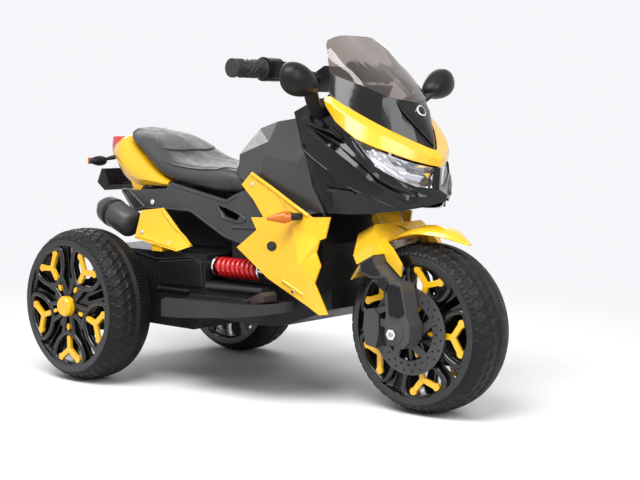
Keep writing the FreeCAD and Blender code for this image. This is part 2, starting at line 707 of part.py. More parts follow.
def body_core():
    outline = [(-45, PAN_HIGH), (-45, 150), (-10, CORE_HIGH), (140, CORE_HIGH), (PAN_FRONT, 150),
               (PAN_FRONT, PAN_HIGH)]
    rear = prism([(-44, HOUSING_HIGH), (-240, HOUSING_HIGH), (-262, 190), (-190, 196), (-44, 150)], -62, 62)
    lug = box(LUG_X, LUG_X + 12, -SHOCK_Y - 12, 1 - CORE_HALF, SHOCK_H - 12, SHOCK_H + 12)
    return fused([hollow_prism(outline, CORE_HALF, BODY_WALL), rear] + pair(lug))


def charge_socket():
    flange = rod(pt(SOCKET_X, BODY_HALF, SOCKET_H), pt(SOCKET_X, BODY_HALF + 3, SOCKET_H), SOCKET_R)
    back = BODY_HALF + 3 - SOCKET_BORE_L - 4
    barrel = rod(pt(SOCKET_X, back, SOCKET_H), pt(SOCKET_X, BODY_HALF, SOCKET_H), SOCKET_R - 2)
    bore = rod(pt(SOCKET_X, BODY_HALF + 3 - SOCKET_BORE_L, SOCKET_H), pt(SOCKET_X, BODY_HALF + 9, SOCKET_H),
               SOCKET_BORE_R)
    return fused([flange, barrel]).cut(bore)


def drive_nodes():
    floor = PAN_LOW + BODY_WALL
    battery = box(-60, 50, -52, 52, floor, floor + 56)
    terminals = box(30, 44, -30, 30, floor + 56, floor + 62)
    control = box(62, 112, -36, 36, floor, floor + 26)
    low = HOUSING_LOW + BODY_WALL
    wall = BODY_HALF - BODY_WALL
    inner = GEARS_W - wall
    gears = box(REAR_X - 44, REAR_X + 60, -wall, inner, low, 46)
    gears = gears.cut(rod(pt(REAR_X, -BODY_HALF, 0), pt(REAR_X, 0, 0), REAR_AXLE_R + 2 * RUN))
    motor = rod(pt(REAR_X + 34, inner, 10), pt(REAR_X + 34, inner + MOTOR_L, 10), MOTOR_R)
    return {"battery": [fused([battery, terminals])], "control_box": [control],
            "gear_motors": pair(gears) + pair(motor), "charge_socket": [charge_socket()]}


# Shock absorbers
SPRING_X = -52.0


def biarc(p0, t0, p1, t1):
    """Two arcs that join two points and leave both along the given directions."""
    chord = p1 - p0
    both = t0 + t1
    spread = 2 * (1 - t0.dot(t1))
    reach = (math.sqrt(chord.dot(both) ** 2 + spread * chord.dot(chord)) - chord.dot(both)) / spread
    joint = (p0 + p1 + (t0 - t1) * reach) * 0.5
    return [bent(p0, t0, joint), bent(p1, t1 * -1, joint)]


def bent(start, way, end):
    chord = end - start
    length = chord.Length
    side = way - chord * (way.dot(chord) / length ** 2)
    side.normalize()
    rise = length / 2 * math.tan(way.getAngle(chord) / 2)
    return Part.Arc(start, start + chord * 0.5 + side * rise, end).toShape()


def spring_point(turn):
    angle = 2 * math.pi * turn
    return pt(SPRING_X + SPRING_PITCH * turn, SPRING_R * math.cos(angle) - SHOCK_Y,
              SPRING_R * math.sin(angle) + SHOCK_H)


def spring_way(turn):
    angle = 2 * math.pi * turn
    way = V(SPRING_PITCH / (2 * math.pi), -SPRING_R * math.sin(angle), SPRING_R * math.cos(angle))
    way.normalize()
    return way


def shock_spring():
    steps = [k / 4 for k in range(4 * SPRING_TURNS + 1)]
    straight = 2 * SPRING_WIRE_R
    first = spring_point(0) - spring_way(0) * straight
    last = spring_point(SPRING_TURNS) + spring_way(SPRING_TURNS) * straight
    edges = [Part.makeLine(first, spring_point(0))]
    for a, b in zip(steps, steps[1:]):
        edges += biarc(spring_point(a), spring_way(a), spring_point(b), spring_way(b))
    edges.append(Part.makeLine(spring_point(SPRING_TURNS), last))
    pipe = Part.BRepOffsetAPI.MakePipeShell(Part.Wire(Part.__sortEdges__(edges)))
    circle = Part.Circle(first, spring_way(0), SPRING_WIRE_R)
    pipe.add(Part.Wire([circle.toShape()]))
    pipe.build()
    pipe.makeSolid()
    least = min(spring_point(t).distanceToPoint(spring_point(t + 0.75 + u / 40)) for t in (0, 0.3, 0.6)
                for u in range(0, 20)) - 2 * SPRING_WIRE_R
    print("spring turns keep", round(least, 2), "mm apart")
    return pipe.shape()


def shock_point(x):
    return pt(x, -SHOCK_Y, SHOCK_H)


def shock_absorber():
    """Damper rod between the pan and its lug, with a collar at each end of the spring."""
    rear = PAN_REAR + GAP
    reach = SPRING_WIRE_R * (1 + 2 * spring_way(0).x) + GAP
    low = SPRING_X - reach
    high = SPRING_X + SPRING_PITCH * SPRING_TURNS + reach
    collar_r = SPRING_R + SPRING_WIRE_R
    return fused([rod(shock_point(rear), shock_point(LUG_X - GAP), SHOCK_BODY_R),
                  rod(shock_point(rear), shock_point(low), SHOCK_BODY_R + 4),
                  rod(shock_point(low - 4), shock_point(low), collar_r),
                  rod(shock_point(high), shock_point(high + 4), collar_r)])


# Seat, tail and frame
def seat_frame():
    outline = [(-383, 238), (-330, 236), (-236, 242), (-222, 256), (-150, 243), (-56, 226), (-30, 238),
               (8, 250), (44, 214), (44, 150), (2, 134), (-54, 146), (-160, 196), (-301, 194), (-341, 188)]
    side = prism(outline, -FRAME_OUT, -FRAME_IN)
    gap = prism([(-78, 215), (-15, 196), (-26, 185), (-60, 193)], -FRAME_OUT - 1, -FRAME_IN + 1)
    deck = prism([(-222, 246), (-56, 217), (-56, 213), (-222, 242)], -FRAME_IN - 1, FRAME_IN + 1)
    cross = box(-345, -333, -FRAME_IN - 1, FRAME_IN + 1, 206, 232)
    return fused(pair(side.cut(gap)) + [deck, cross])


def seat():
    stations = [(-402, 50, 350, 57, 356, 46, 366, 371), (-360, 70, 330, 80, 339, 66, 355, 363),
                (-310, 84, 302, 95, 315, 78, 338, 348), (-262, 93, 274, 102, 290, 88, 311, 322),
                (-215, 96, 261, 103, 278, 94, 294, 298), (-150, 92, 250, 101, 270, 92, 287, 289),
                (-95, 82, 241, 93, 264, 84, 284, 289), (-42, 62, 232, 73, 254, 62, 272, 282)]
    sections = []
    for x, wb, hb, w, hs, wt, ht, top in stations:
        side = [pt(x, -wb, hb), pt(x, -w, hs), pt(x, -wt, ht), pt(x, -wt * 0.5, (ht + 2 * top) / 3),
                pt(x, 0, top)]
        other = [V(p.x, -p.y, p.z) for p in reversed(side[:-1])]
        curve = Part.BSplineCurve()
        curve.interpolate(side + other)
        sections.append(Part.Wire([curve.toShape(), Part.makeLine(other[-1], side[0])]))
    body = Part.makeLoft(sections, True, False)
    places = [(x, y, h) for x, h in ((-190, 242.2), (-80, 223.0)) for y in (-40, 40)]
    feet = [rod(pt(x, y, h), pt(x, y, h + 28), 8) for x, y, h in places]
    return fused([body] + feet)


def tail_cowl():
    rows = grid([[(-456, -60, 296), (-456, -67, 312), (-456, -56, 336), (-456, -28, 346), (-456, 0, 349)],
                 [(-420, -77, 278), (-420, -84, 302), (-420, -66, 344), (-420, -32, 356), (-420, 0, 360)],
                 [(-388, -85, 259), (-388, -93, 286), (-388, -68, 326), (-388, -34, 332), (-388, 0, 334)],
                 [(-350, -91, 247), (-350, -99, 270), (-350, -76, 306), (-350, -38, 312), (-350, 0, 313)],
                 [(-300, -96, 247), (-300, -102, 260), (-300, -84, 282), (-300, -42, 286), (-300, 0, 287)],
                 [(-240, -96, 247), (-240, -99, 252), (-240, -92, 257), (-240, -46, 258), (-240, 0, 258)]])
    shell = spline_shell(whole(rows), WALL, pt(-340, 0, 200))
    bosses = []
    for y in (-56, 56):
        foot = pt(-339, y, 232)
        bosses.append(rod(foot, foot + V(0, 0, hits(shell, foot, V(0, 0, 1))[0] + WALL / 2), 6))
    return fused([shell] + bosses)


def tail_light():
    side = prism([(-456 - GAP, 350), (-468, 350), (-502, 327), (-474, 306), (-456 - GAP, 300)], -58, 58)
    plan = [(-456, -58), (-470, -56), (-502, -34), (-508, 0), (-502, 34), (-470, 56), (-456, 58)]
    return side.common(plan_prism(plan, 200, 400))


def plate_bracket():
    front = -345 - GAP
    end = TAIL_X + 15.5
    bend = end + 50
    arm = prism([(front, 212), (front, 228), (bend, 262), (end, 256), (end, 240), (bend, 244)], -18, 18)
    outline = [(TAIL_X + 24, 276), (TAIL_X + 16, 276), (TAIL_X, 244), (TAIL_X + 26, 226), (TAIL_X + 42, 240)]
    return fused([arm, prism(outline, -52, 52)])


# Fairing panels
def plate(vertices, triangles, inward):
    """Faceted panel whose wall is measured straight across the body."""
    outer = [pt(*v) for v in vertices]
    inner = [p + V(0, inward, 0) for p in outer]
    faces = []
    rims = {}
    for loop in triangles:
        for skin in (outer, inner):
            points = [skin[k] for k in loop]
            faces.append(Part.Face(Part.makePolygon(points + points[:1])))
        for start, end in zip(loop, loop[1:] + loop[:1]):
            key = frozenset((start, end))
            rims[key] = None if key in rims else (start, end)
    for edge in rims.values():
        if edge:
            a, b = edge
            points = [outer[a], outer[b], inner[b], inner[a]]
            faces.append(Part.Face(Part.makePolygon(points + points[:1])))
    return closed(faces)


FAIRING_WALL = 4.0
FLANK_SIDE = [(35, 284), (11, 260), (51, 232), (85, 200), (50, 198), (70, 175), (18, 138), (118, 86),
              (200, 120), (168, 187), (173, 226)]
FLANK_HUB = (120, 195)
FLANK_FRONT = [(208, -141, 206), (240, -126, 207), (231, -130, 167), (221, -135, 163), (217, -140, 140),
               (231, -143, 116), (221, -149, 84), (246, -140, 26), (229, -144, 24), (206, -150, 39)]


def flank(x, h):
    """Flat side face: it leans in towards the top and widens towards the front."""
    return (x, -126 - 0.07 * (x - 35) + 0.1726 * (h - 284), h)


def side_fairing():
    vertices = [flank(*p) for p in FLANK_SIDE] + [flank(*FLANK_HUB)] + FLANK_FRONT
    hub = len(FLANK_SIDE)
    fan = list(range(hub))
    triangles = [[hub, a, b] for a, b in zip(fan, fan[1:] + fan[:1])]
    triangles += [[9, 10, 12], [9, 12, 13], [9, 13, 14], [9, 14, 15], [9, 15, 8], [15, 16, 8], [16, 17, 8],
                  [17, 18, 8], [18, 21, 8], [18, 19, 20], [18, 20, 21], [21, 7, 8]]
    panel = plate(vertices, triangles, FAIRING_WALL)
    bosses = []
    for x, y, h in (flank(150, 150), flank(*FLANK_HUB)):
        bosses.append(rod(pt(x, -CORE_HALF, h), pt(x, y + FAIRING_WALL - 1, h), 5))
    return fused([panel] + bosses)


def rear_panel():
    """Faceted panel over the wheel, on a foot that stands on the housing."""
    rear = HOUSING_REAR
    vertices = [(rear + 149, -130, 195), (rear + 219, -130, 203), (rear + 271, -130, 156),
                (rear + 317, -140, 130), (rear + 292, -160, 119), (rear + 162, -160, 138)]
    panel = plate(vertices, [[5, 0, 1], [5, 1, 2], [5, 2, 4], [2, 3, 4]], FAIRING_WALL)
    foot = box(rear + 214, rear + 244, -157.5, -FRAME_OUT - 2, HOUSING_HIGH, HOUSING_HIGH + 17)
    return fused([panel, foot])


def muffler():
    low = pt(HOUSING_REAR + 134, -MUFFLER_Y, HOUSING_HIGH + 48)
    high = pt(HOUSING_REAR + 48, -MUFFLER_Y, HOUSING_HIGH + 80)
    way = high - low
    way.normalize()
    body = rod(low, high, MUFFLER_R)
    cap = Part.makeCone(MUFFLER_R, MUFFLER_R - 8, 10, high, way)
    pipe = rod(high, high + way * 18, 15).cut(rod(high + way * 11, high + way * 19, 12))
    foot = box(HOUSING_REAR + 104, HOUSING_REAR + 128, -MUFFLER_Y + 4, -MUFFLER_Y + 20, HOUSING_HIGH,
               HOUSING_HIGH + 40)
    return fused([body, cap, pipe, foot])


def tank_cover():
    rows = grid([[(-74, -56, 297), (-74, -50, 301), (-74, -30, 305), (-74, 0, 307)],
                 [(-52, -80, 285), (-52, -78, 306), (-52, -48, 330), (-52, 0, 337)],
                 [(-25, -100, 273), (-25, -98, 309), (-25, -56, 354), (-25, 0, 364)],
                 [(8, -113, 262), (8, -113, 306), (8, -62, 371), (8, 0, 383)],
                 [(45, -117, 258), (45, -118, 310), (45, -64, 382), (45, 0, 394)],
                 [(95, -121, 240), (95, -123, 312), (95, -64, 388), (95, 0, 400)],
                 [(140, -122, 222), (138, -125, 314), (134, -68, 393), (134, 0, 403)],
                 [(226, -119, 200), (194, -122, 290), (152, -80, 396), (150, 0, 403)]])
    shell = spline_shell(whole(rows), WALL, pt(40, 0, 250))
    posts = []
    for x in (0, 50):
        foot = pt(x, 0, CORE_HIGH)
        posts.append(rod(foot, foot + V(0, 0, hits(shell, foot, V(0, 0, 1))[0] + WALL / 2), 7))
    return fused([shell] + posts)


# Nose: bands that run from the rear edge round the tip, lowest first
NOSE_MID = (220, 0, 340)
TRIM = [[(251, -135, 392), (296, -133, 357), (350, -100, 327), (396, -18, 300), (404, 0, 298)],
        [(226, -133, 416), (284, -124, 386), (344, -88, 352), (398, -16, 318), (408, 0, 314)],
        [(236, -126, 436), (286, -105, 403), (340, -64, 366), (384, -12, 338), (390, 0, 334)]]
COWL = [[(236, -126, 214), (290, -110, 214), (345, -72, 219), (388, -28, 228), (404, -10, 234),
         (413, 0, 237)],
        [(206, -130, 272), (284, -127, 264), (346, -94, 254), (392, -38, 247), (408, -12, 248),
         (417, 0, 249)],
        [(172, -130, 340), (290, -132, 338), (338, -112, 302), (378, -46, 266), (392, -14, 262),
         (398, 0, 260)]]
COWL_TOP_REAR = [(150, -126, 402), (228, -121, 428)]


BAND_STEPS = 3
LAMP_COLUMNS = (2, 4)
LENS_T = 2.0
REFLECTOR_DEPTH = 16.0
TRIM_LIFT = 1.5
TRIM_LAP = 0.25


def banded(rows):
    """Bands smoothed from the rear edge to the tip, with a crease left on the middle plane."""
    return whole([smooth_line(row, BAND_STEPS) for row in rows])


def trim_rows():
    return banded(grid(TRIM))


def nose_trim():
    """Band lifted off the cowls behind it by a row of pegs."""
    rows = trim_rows()
    lines = normals(rows, pt(*NOSE_MID))
    pegs = []
    for j in (BAND_STEPS, 2 * BAND_STEPS, -1 - BAND_STEPS, -1 - 2 * BAND_STEPS):
        at = rows[2][j] + (rows[1][j] - rows[2][j]) * TRIM_LAP / 2
        pegs.append(rod(at - lines[2][j] * (WALL - 1), at - lines[2][j] * (WALL + TRIM_LIFT - GAP), 3))
    return fused([facet_shell(rows, WALL, pt(*NOSE_MID))] + pegs)


def under_trim(i, lap=0.0):
    """Right half of a line behind one edge of the trim, or inside that edge by a part of its band."""
    rows = sunk(grid(TRIM), WALL + TRIM_LIFT, pt(*NOSE_MID))
    row = [a + (b - a) * lap for a, b in zip(rows[i], rows[1])]
    return row[:-1] + [V(row[-1].x, 0, row[-1].z)]


def cowl_rows():
    """Cowl bands; the top one runs behind the lower edge of the trim."""
    under = under_trim(0)
    strip = V(under[3].x + 3, under[3].y + 4, under[3].z - 1)
    top = [pt(*p) for p in COWL_TOP_REAR] + under[1:3] + [strip, under[4]]
    return banded(grid(COWL) + [top])


def front_cowl():
    rows = cowl_rows()
    count = len(rows[0]) - 1
    lamp = [(2, j) for j in range(LAMP_COLUMNS[0] * BAND_STEPS, LAMP_COLUMNS[1] * BAND_STEPS)]
    return facet_shell(rows, WALL, pt(*NOSE_MID), lamp + [(i, count - 1 - j) for i, j in lamp])


def lamp_rows(depth):
    """Face behind the lamp opening of the cowl, at a depth below its outer skin."""
    last = LAMP_COLUMNS[1] * BAND_STEPS + 1
    return [row[LAMP_COLUMNS[0] * BAND_STEPS:last] for row in sunk(cowl_rows(), depth, pt(*NOSE_MID))[2:4]]


def headlight_lens():
    return facet_shell(lamp_rows(WALL + GAP), LENS_T, pt(*NOSE_MID))


def headlight_reflector():
    """Shallow trough behind the lens, with its edges on the lens."""
    edge = lamp_rows(WALL + LENS_T + 2 * GAP)
    deep = lamp_rows(WALL + LENS_T + REFLECTOR_DEPTH)
    middle = [(a + b) * 0.5 for a, b in zip(*deep)]
    return facet_shell([edge[0], middle, edge[1]], LENS_T, pt(*NOSE_MID))


SCREEN_FOOT = [(216, -98, 473), (284, -86, 449), (326, -52, 427), (342, -14, 420), (345, 0, 418)]
SCREEN_LIFT = 0.9
SCREEN_T = 2.4


def upper_rows():
    """Black cowl from just inside the trim up to the foot of the windshield."""
    return banded([under_trim(2, TRIM_LAP), under_trim(2), grid([SCREEN_FOOT])[0]])


def upper_cowl():
    return facet_shell(upper_rows(), WALL, pt(*NOSE_MID))


def windshield():
    foot = [(x, y, h + SCREEN_LIFT) for x, y, h in SCREEN_FOOT]
    rows = grid([foot,
                 [(211, -97, 493), (262, -84, 476), (298, -52, 458), (314, -15, 450), (316, 0, 448)],
                 [(204, -93, 513), (238, -78, 501), (266, -48, 488), (280, -15, 480), (282, 0, 478)],
                 [(196, -86, 529), (214, -72, 527), (228, -45, 521), (234, -15, 516), (235, 0, 515)],
                 [(190, -76, 537), (196, -62, 543), (197, -40, 547), (194, -14, 548), (193, 0, 548)]])
    return spline_shell(whole(rows), SCREEN_T, pt(150, 0, 400))


# Head tube with its stays
STAY_R = 5.0


def head_tube():
    tube = rod(steer(0, 0, HEAD_LOW), steer(0, 0, HEAD_HIGH), HEAD_IN_R + HEAD_WALL)
    foot = box(70, 130, -34, 34, CORE_HIGH, CORE_HIGH + 5)
    down = rod(steer(0, 0, 320), pt(100, 0, CORE_HIGH + 2), 14)
    down = down.cut(box(0, 300, -40, 40, CORE_HIGH - 60, CORE_HIGH))
    cowl = sunk(cowl_rows(), WALL + GAP + STAY_R, pt(*NOSE_MID))
    upper = sunk(upper_rows(), WALL + GAP + STAY_R, pt(*NOSE_MID))
    stays = []
    for tip in (cowl[2][BAND_STEPS], cowl[2][-1 - BAND_STEPS]):
        stays.append(strut(steer(0, 0, 330), tip, STAY_R))
    for tip in (upper[2][BAND_STEPS], upper[2][-1 - BAND_STEPS]):
        stays.append(strut(steer(0, 0, 400), tip + V(0, 0, -8), STAY_R))
    bore = rod(steer(0, 0, HEAD_LOW - 20), steer(0, 0, HEAD_HIGH + 20), HEAD_IN_R)
    return fused([tube, foot, down] + stays).cut(bore)


# Dash
DASH_SLOPE = 40.0
DASH_AT = (212, 0, 436)
DASH_T = 5.0
START_Y = -34.0
DRIVE_Y = 34.0


def dash_point(u, y, w):
    """u runs up the dash face, w out of it towards the rider."""
    a = math.radians(DASH_SLOPE)
    return pt(*DASH_AT) + V(u * math.sin(a) - w * math.cos(a), y, u * math.cos(a) + w * math.sin(a))


def dash_nodes():
    corners = [(-24, -84), (-24, 84), (24, 72), (24, -72)]
    thick = dash_point(0, 0, 0) - dash_point(0, 0, -DASH_T)
    panel = extruded([dash_point(u, y, -DASH_T) for u, y in corners], thick)
    dial = rod(dash_point(2, 0, -1), dash_point(2, 0, 5), 19)
    well = rod(dash_point(0, START_Y, -20), dash_point(0, START_Y, 20), 8 + BUTTON_PLAY)
    cuts = [dash_point(u, DRIVE_Y + y, -20) for u, y in ((-11, -7), (11, -7), (11, 7), (-11, 7))]
    mouth = extruded(cuts, dash_point(0, 0, 20) - dash_point(0, 0, -20))
    leg = rod(dash_point(-14, 0, -DASH_T + 1), steer(HEAD_IN_R + HEAD_WALL - 1, 0, HEAD_HIGH - 12), 6)
    leg = leg.cut(rod(steer(0, 0, HEAD_LOW), steer(0, 0, STEM_TOP), HEAD_IN_R + HEAD_WALL + GAP))
    button = rod(dash_point(0, START_Y, -8), dash_point(0, START_Y, 5), 8)
    rocker = [(-10, -2), (-10, 3), (0, 1.5), (10, 3), (10, -2), (0, -5)]
    rock = extruded([dash_point(u, DRIVE_Y - 6, w) for u, w in rocker], V(0, 12, 0))
    pin = rod(dash_point(0, DRIVE_Y - 9, -2), dash_point(0, DRIVE_Y + 9, -2), 1.4)
    hole = rod(dash_point(0, DRIVE_Y - 9.5, -2), dash_point(0, DRIVE_Y + 9.5, -2), 1.4 + RUN)
    return {"dash_panel": [fused([panel, dial, leg]).cut(well).cut(mouth).cut(hole)],
            "start_button": [button], "drive_switch": [fused([rock, pin])]}


# Mirrors and indicators
def oval(centre, ahead, size):
    """Upright ellipse in the shape of the mirror, at a distance ahead of its middle."""
    at = centre + V(ahead, 0, 0)
    return Part.Wire([Part.Ellipse(at + V(0, 46 * size, 0), at + V(0, 0, 29 * size), at).toShape()])


def mirror_nodes(cowl):
    """Egg-shaped shell on a stalk, with the glass on its flat rear face."""
    centre = pt(237, -208, 457)
    back = -8
    steps = ((back, 0.96), (0, 1.0), (10, 0.94), (18, 0.79), (24, 0.56), (28, 0.26))
    dome = Part.makeLoft([oval(centre, ahead, size) for ahead, size in steps], True)
    skin, out = on_side(cowl, 212, 400)
    root = skin + out * GAP
    stalk = rod(root, root + out * 9, 9).fuse(strut(root + out * 6, centre + V(6, 28, -14), 6))
    glass = Part.Face(oval(centre, back - 2, 0.9)).extrude(V(2, 0, 0))
    return {"mirrors": pair(fused([dome, stalk])), "mirror_glasses": pair(glass)}


def indicator_nodes(fairing, tail):
    skin, out = on_side(fairing, 183, 206)
    root = skin + out * GAP
    way = V(-0.69, -0.72, -0.06)
    way.normalize()
    knee = root + out * 8
    body = fused([rod(root, knee, 7), Part.makeSphere(7, knee), rod(knee, knee + way * 12, 7)])
    start = knee + way * (12 + GAP)
    bulge = start + way * 12
    tip = start + way * 42
    lens = fused([Part.makeCone(8, 12, 12, start, way), Part.makeCone(12, 4, 30, bulge, way),
                  Part.makeSphere(4, tip)])
    skin, out = on_side(tail, -446, 304)
    foot = skin + out * GAP
    stem = rod(foot, foot + out * 9, 5).fuse(strut(foot + out * 8, pt(-462, -92, 297), 5))
    pod = box(-470, -454, -128, -86, 286, 306)
    lens_rear = box(-475, -470, -125, -90, 289, 303)
    return {"indicator_bodies": pair(body) + pair(fused([stem, pod])),
            "indicator_lenses": pair(lens) + pair(lens_rear)}


# Screws
def screw(at, way, r=4.0, head=2.0):
    return rod(at, at + way * head, r)


def screw_nodes(fairing, panel):
    made = []
    for x, h, solid in ((176, 66, fairing), (44, 262, fairing), (HOUSING_REAR + 178, 152, panel),
                        (HOUSING_REAR + 260, 134, panel)):
        skin, out = on_side(solid, x, h)
        made.append(screw(skin + out * GAP, out))
    made.append(screw(pt(-278, -FRAME_OUT, 212), ACROSS * -1, 6.0))
    return {"panel_screws": [s for one in made for s in pair(one)]}


def body_nodes():
    nodes = {"chassis_pan": [chassis_pan()], "rear_housing": [rear_housing()], "body_core": [body_core()],
             "shock_absorbers": pair(shock_absorber()), "shock_springs": pair(shock_spring()),
             "seat_frame": [seat_frame()], "seat": [seat()], "tail_cowl": [tail_cowl()],
             "tail_light": [tail_light()], "plate_bracket": [plate_bracket()],
             "rear_panel_right": [rear_panel()], "rear_panel_left": [mirrored(rear_panel())],
             "mufflers": pair(muffler()), "tank_cover": [tank_cover()],
             "side_fairing_right": [side_fairing()], "side_fairing_left": [mirrored(side_fairing())],
             "front_cowl": [front_cowl()], "headlight_lenses": pair(headlight_lens()),
             "headlight_reflectors": pair(headlight_reflector()), "upper_cowl": [upper_cowl()],
             "head_tube": [head_tube()]}
    nodes["nose_trim"] = [nose_trim().cut(nodes["front_cowl"][0])]
    nodes["windshield"] = [windshield().cut(nodes["upper_cowl"][0])]
    nodes.update(pedal_nodes())
    nodes.update(drive_nodes())
    nodes.update(dash_nodes())
    nodes.update(mirror_nodes(nodes["front_cowl"][0]))
    nodes.update(indicator_nodes(nodes["side_fairing_right"][0], nodes["tail_cowl"][0]))
    nodes.update(screw_nodes(nodes["side_fairing_right"][0], nodes["rear_panel_right"][0]))
    return nodes


NODES = {}
NODES.update(wheel_nodes())
NODES.update(axle_nodes())
NODES.update(steering_nodes())
NODES.update(body_nodes())

os.makedirs("parts", exist_ok=True)
for name, made in NODES.items():
    solids = [solid for shape in made for solid in shape.Solids]
    shape = solids[0] if len(solids) == 1 else Part.makeCompound(solids)
    shape.translate(V(-MIDDLE_X, 0, 0))
    shape.exportStep("parts/%s.step" % name)
    sound = all(s.isValid() and s.Volume > 0 for s in solids) and len(solids) == len(made)
    print(name, len(solids), "sound" if sound else "UNSOUND from %d" % len(made))
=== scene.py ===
import json
import math

import bmesh
import bpy
import numpy as np
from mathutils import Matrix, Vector
from mathutils.bvhtree import BVHTree
from mathutils.geometry import delaunay_2d_cdt

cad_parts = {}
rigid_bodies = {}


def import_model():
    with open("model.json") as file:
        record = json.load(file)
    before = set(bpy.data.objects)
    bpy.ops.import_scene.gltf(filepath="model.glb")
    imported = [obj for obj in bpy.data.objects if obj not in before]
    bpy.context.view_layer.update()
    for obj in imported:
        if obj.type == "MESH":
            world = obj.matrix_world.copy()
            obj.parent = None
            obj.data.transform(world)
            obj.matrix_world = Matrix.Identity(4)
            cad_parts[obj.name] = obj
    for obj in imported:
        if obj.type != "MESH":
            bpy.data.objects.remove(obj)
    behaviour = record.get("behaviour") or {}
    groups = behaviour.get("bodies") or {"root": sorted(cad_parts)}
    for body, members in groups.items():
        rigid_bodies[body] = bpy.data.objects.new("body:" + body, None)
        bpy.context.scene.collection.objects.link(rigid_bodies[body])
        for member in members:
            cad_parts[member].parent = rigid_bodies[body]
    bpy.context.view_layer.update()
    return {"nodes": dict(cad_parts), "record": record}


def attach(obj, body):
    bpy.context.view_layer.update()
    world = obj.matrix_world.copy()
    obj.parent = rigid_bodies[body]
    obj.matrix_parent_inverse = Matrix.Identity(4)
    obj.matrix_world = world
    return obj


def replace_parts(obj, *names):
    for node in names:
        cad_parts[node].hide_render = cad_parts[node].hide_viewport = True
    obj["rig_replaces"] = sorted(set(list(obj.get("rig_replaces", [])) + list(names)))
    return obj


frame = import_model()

NODES = frame["nodes"]
BODY_OF = {}
for body, members in frame["record"]["behaviour"]["bodies"].items():
    for member in members:
        BODY_OF[member] = body
SLOT_OF = {s["node"]: s["material_slot"] for s in frame["record"]["subparts"]}
# The seat rail takes the lighter tank grey in place of its own black slot, a painted sheen that stands in
# for the light it reflects
SLOT_OF["seat_frame"] = "tank_grey"

# Driving sizes in metres
AXLE_H = 0.160
REAR_AXLE = (-0.352, 0.228, AXLE_H)
FRONT_AXLE = (0.3755, 0.0, AXLE_H)
ON_MIDDLE = 0.0002
MM = 1 / 1000


def at(x, y, h):
    """Point from millimetres, with the height counted from the axle line."""
    return Vector((x * MM, y * MM, AXLE_H + h * MM))


# Materials
class Nodes:
    """Node tree of one material, with short calls for the few nodes that are used."""

    def __init__(self, name):
        self.material = bpy.data.materials.new(name)
        self.material.use_nodes = True
        self.tree = self.material.node_tree
        self.shader = self.tree.nodes["Principled BSDF"]
        self.place = self.add("ShaderNodeTexCoord").outputs["Object"]

    def add(self, kind, **values):
        node = self.tree.nodes.new(kind)
        for key, value in values.items():
            setattr(node, key, value)
        return node

    def link(self, out, to):
        self.tree.links.new(out, to)

    def noise(self, scale, detail=3.0):
        node = self.add("ShaderNodeTexNoise")
        node.inputs["Scale"].default_value = scale
        node.inputs["Detail"].default_value = detail
        self.link(self.place, node.inputs["Vector"])
        return node.outputs["Fac"]

    def spread(self, value, low, high, start=0.3, end=0.7):
        node = self.add("ShaderNodeMapRange")
        for key, number in (("From Min", start), ("From Max", end), ("To Min", low), ("To Max", high)):
            node.inputs[key].default_value = number
        self.link(value, node.inputs["Value"])
        return node.outputs["Result"]

    def mix(self, factor, a, b):
        node = self.add("ShaderNodeMix", data_type="RGBA")
        for key, colour in (("A", a), ("B", b)):
            socket = [s for s in node.inputs if s.name == key and s.type == "RGBA"][0]
            if isinstance(colour, tuple):
                socket.default_value = colour + (1.0,)
            else:
                self.link(colour, socket)
        self.link(factor, node.inputs["Factor"])
        return [s for s in node.outputs if s.type == "RGBA"][0]

    def tone(self, dark, light, scale):
        """Colour that drifts between two tones."""
        return self.mix(self.spread(self.noise(scale), 0.0, 1.0), dark, light)

    def gloss(self, rough, low, high, scale):
        """Roughness that drifts between two shares of its middle value."""
        drift = self.spread(self.noise(scale), rough * low, rough * high)
        self.link(drift, self.shader.inputs["Roughness"])

    def bump(self, height, strength, distance):
        node = self.add("ShaderNodeBump")
        node.inputs["Strength"].default_value = strength
        node.inputs["Distance"].default_value = distance
        self.link(height, node.inputs["Height"])
        self.link(node.outputs["Normal"], self.shader.inputs["Normal"])

    def edges(self):
        """One on sharp edges, zero on flat and hollow places."""
        pointed = self.add("ShaderNodeNewGeometry").outputs["Pointiness"]
        return self.spread(pointed, 0.0, 1.0, start=0.52, end=0.62)

    def set(self, **values):
        for key, value in values.items():
            self.shader.inputs[key.replace("_", " ")].default_value = value


WORN_SHARE = 0.35


def moulded(name, dark, light, rough, grain=900.0, depth=0.00004, coat=0.0, worn=None, shine=0.5):
    """Moulded plastic: faint cloudiness, a fine grain, uneven gloss and slightly worn edges."""
    n = Nodes(name)
    colour = n.tone(dark, light, scale=9.0)
    if worn:
        colour = n.mix(n.spread(n.edges(), 0.0, WORN_SHARE, start=0.0, end=1.0), colour, worn)
    n.link(colour, n.shader.inputs["Base Color"])
    n.gloss(rough, low=0.85, high=1.2, scale=60.0)
    n.bump(n.noise(grain, detail=2.0), strength=0.25, distance=depth)
    n.set(IOR=1.5, Specular_IOR_Level=shine, Coat_Weight=coat, Coat_Roughness=0.06)
    return n.material


def metal(name, dark, light, rough):
    """Bare or plated metal with a fine unevenness."""
    n = Nodes(name)
    n.link(n.tone(dark, light, scale=40.0), n.shader.inputs["Base Color"])
    n.gloss(rough, low=0.7, high=1.4, scale=180.0)
    n.bump(n.noise(500.0, detail=2.0), strength=0.15, distance=0.00003)
    n.set(Metallic=1.0)
    return n.material


def clear(name, dark, light, rough, weight):
    """Tinted or clear plastic that lets part of the light through."""
    n = Nodes(name)
    n.link(n.tone(dark, light, scale=14.0), n.shader.inputs["Base Color"])
    n.gloss(rough, low=0.8, high=1.3, scale=120.0)
    n.bump(n.noise(30.0, detail=1.0), strength=0.05, distance=0.0002)
    n.set(IOR=1.46, Transmission_Weight=weight)
    return n.material


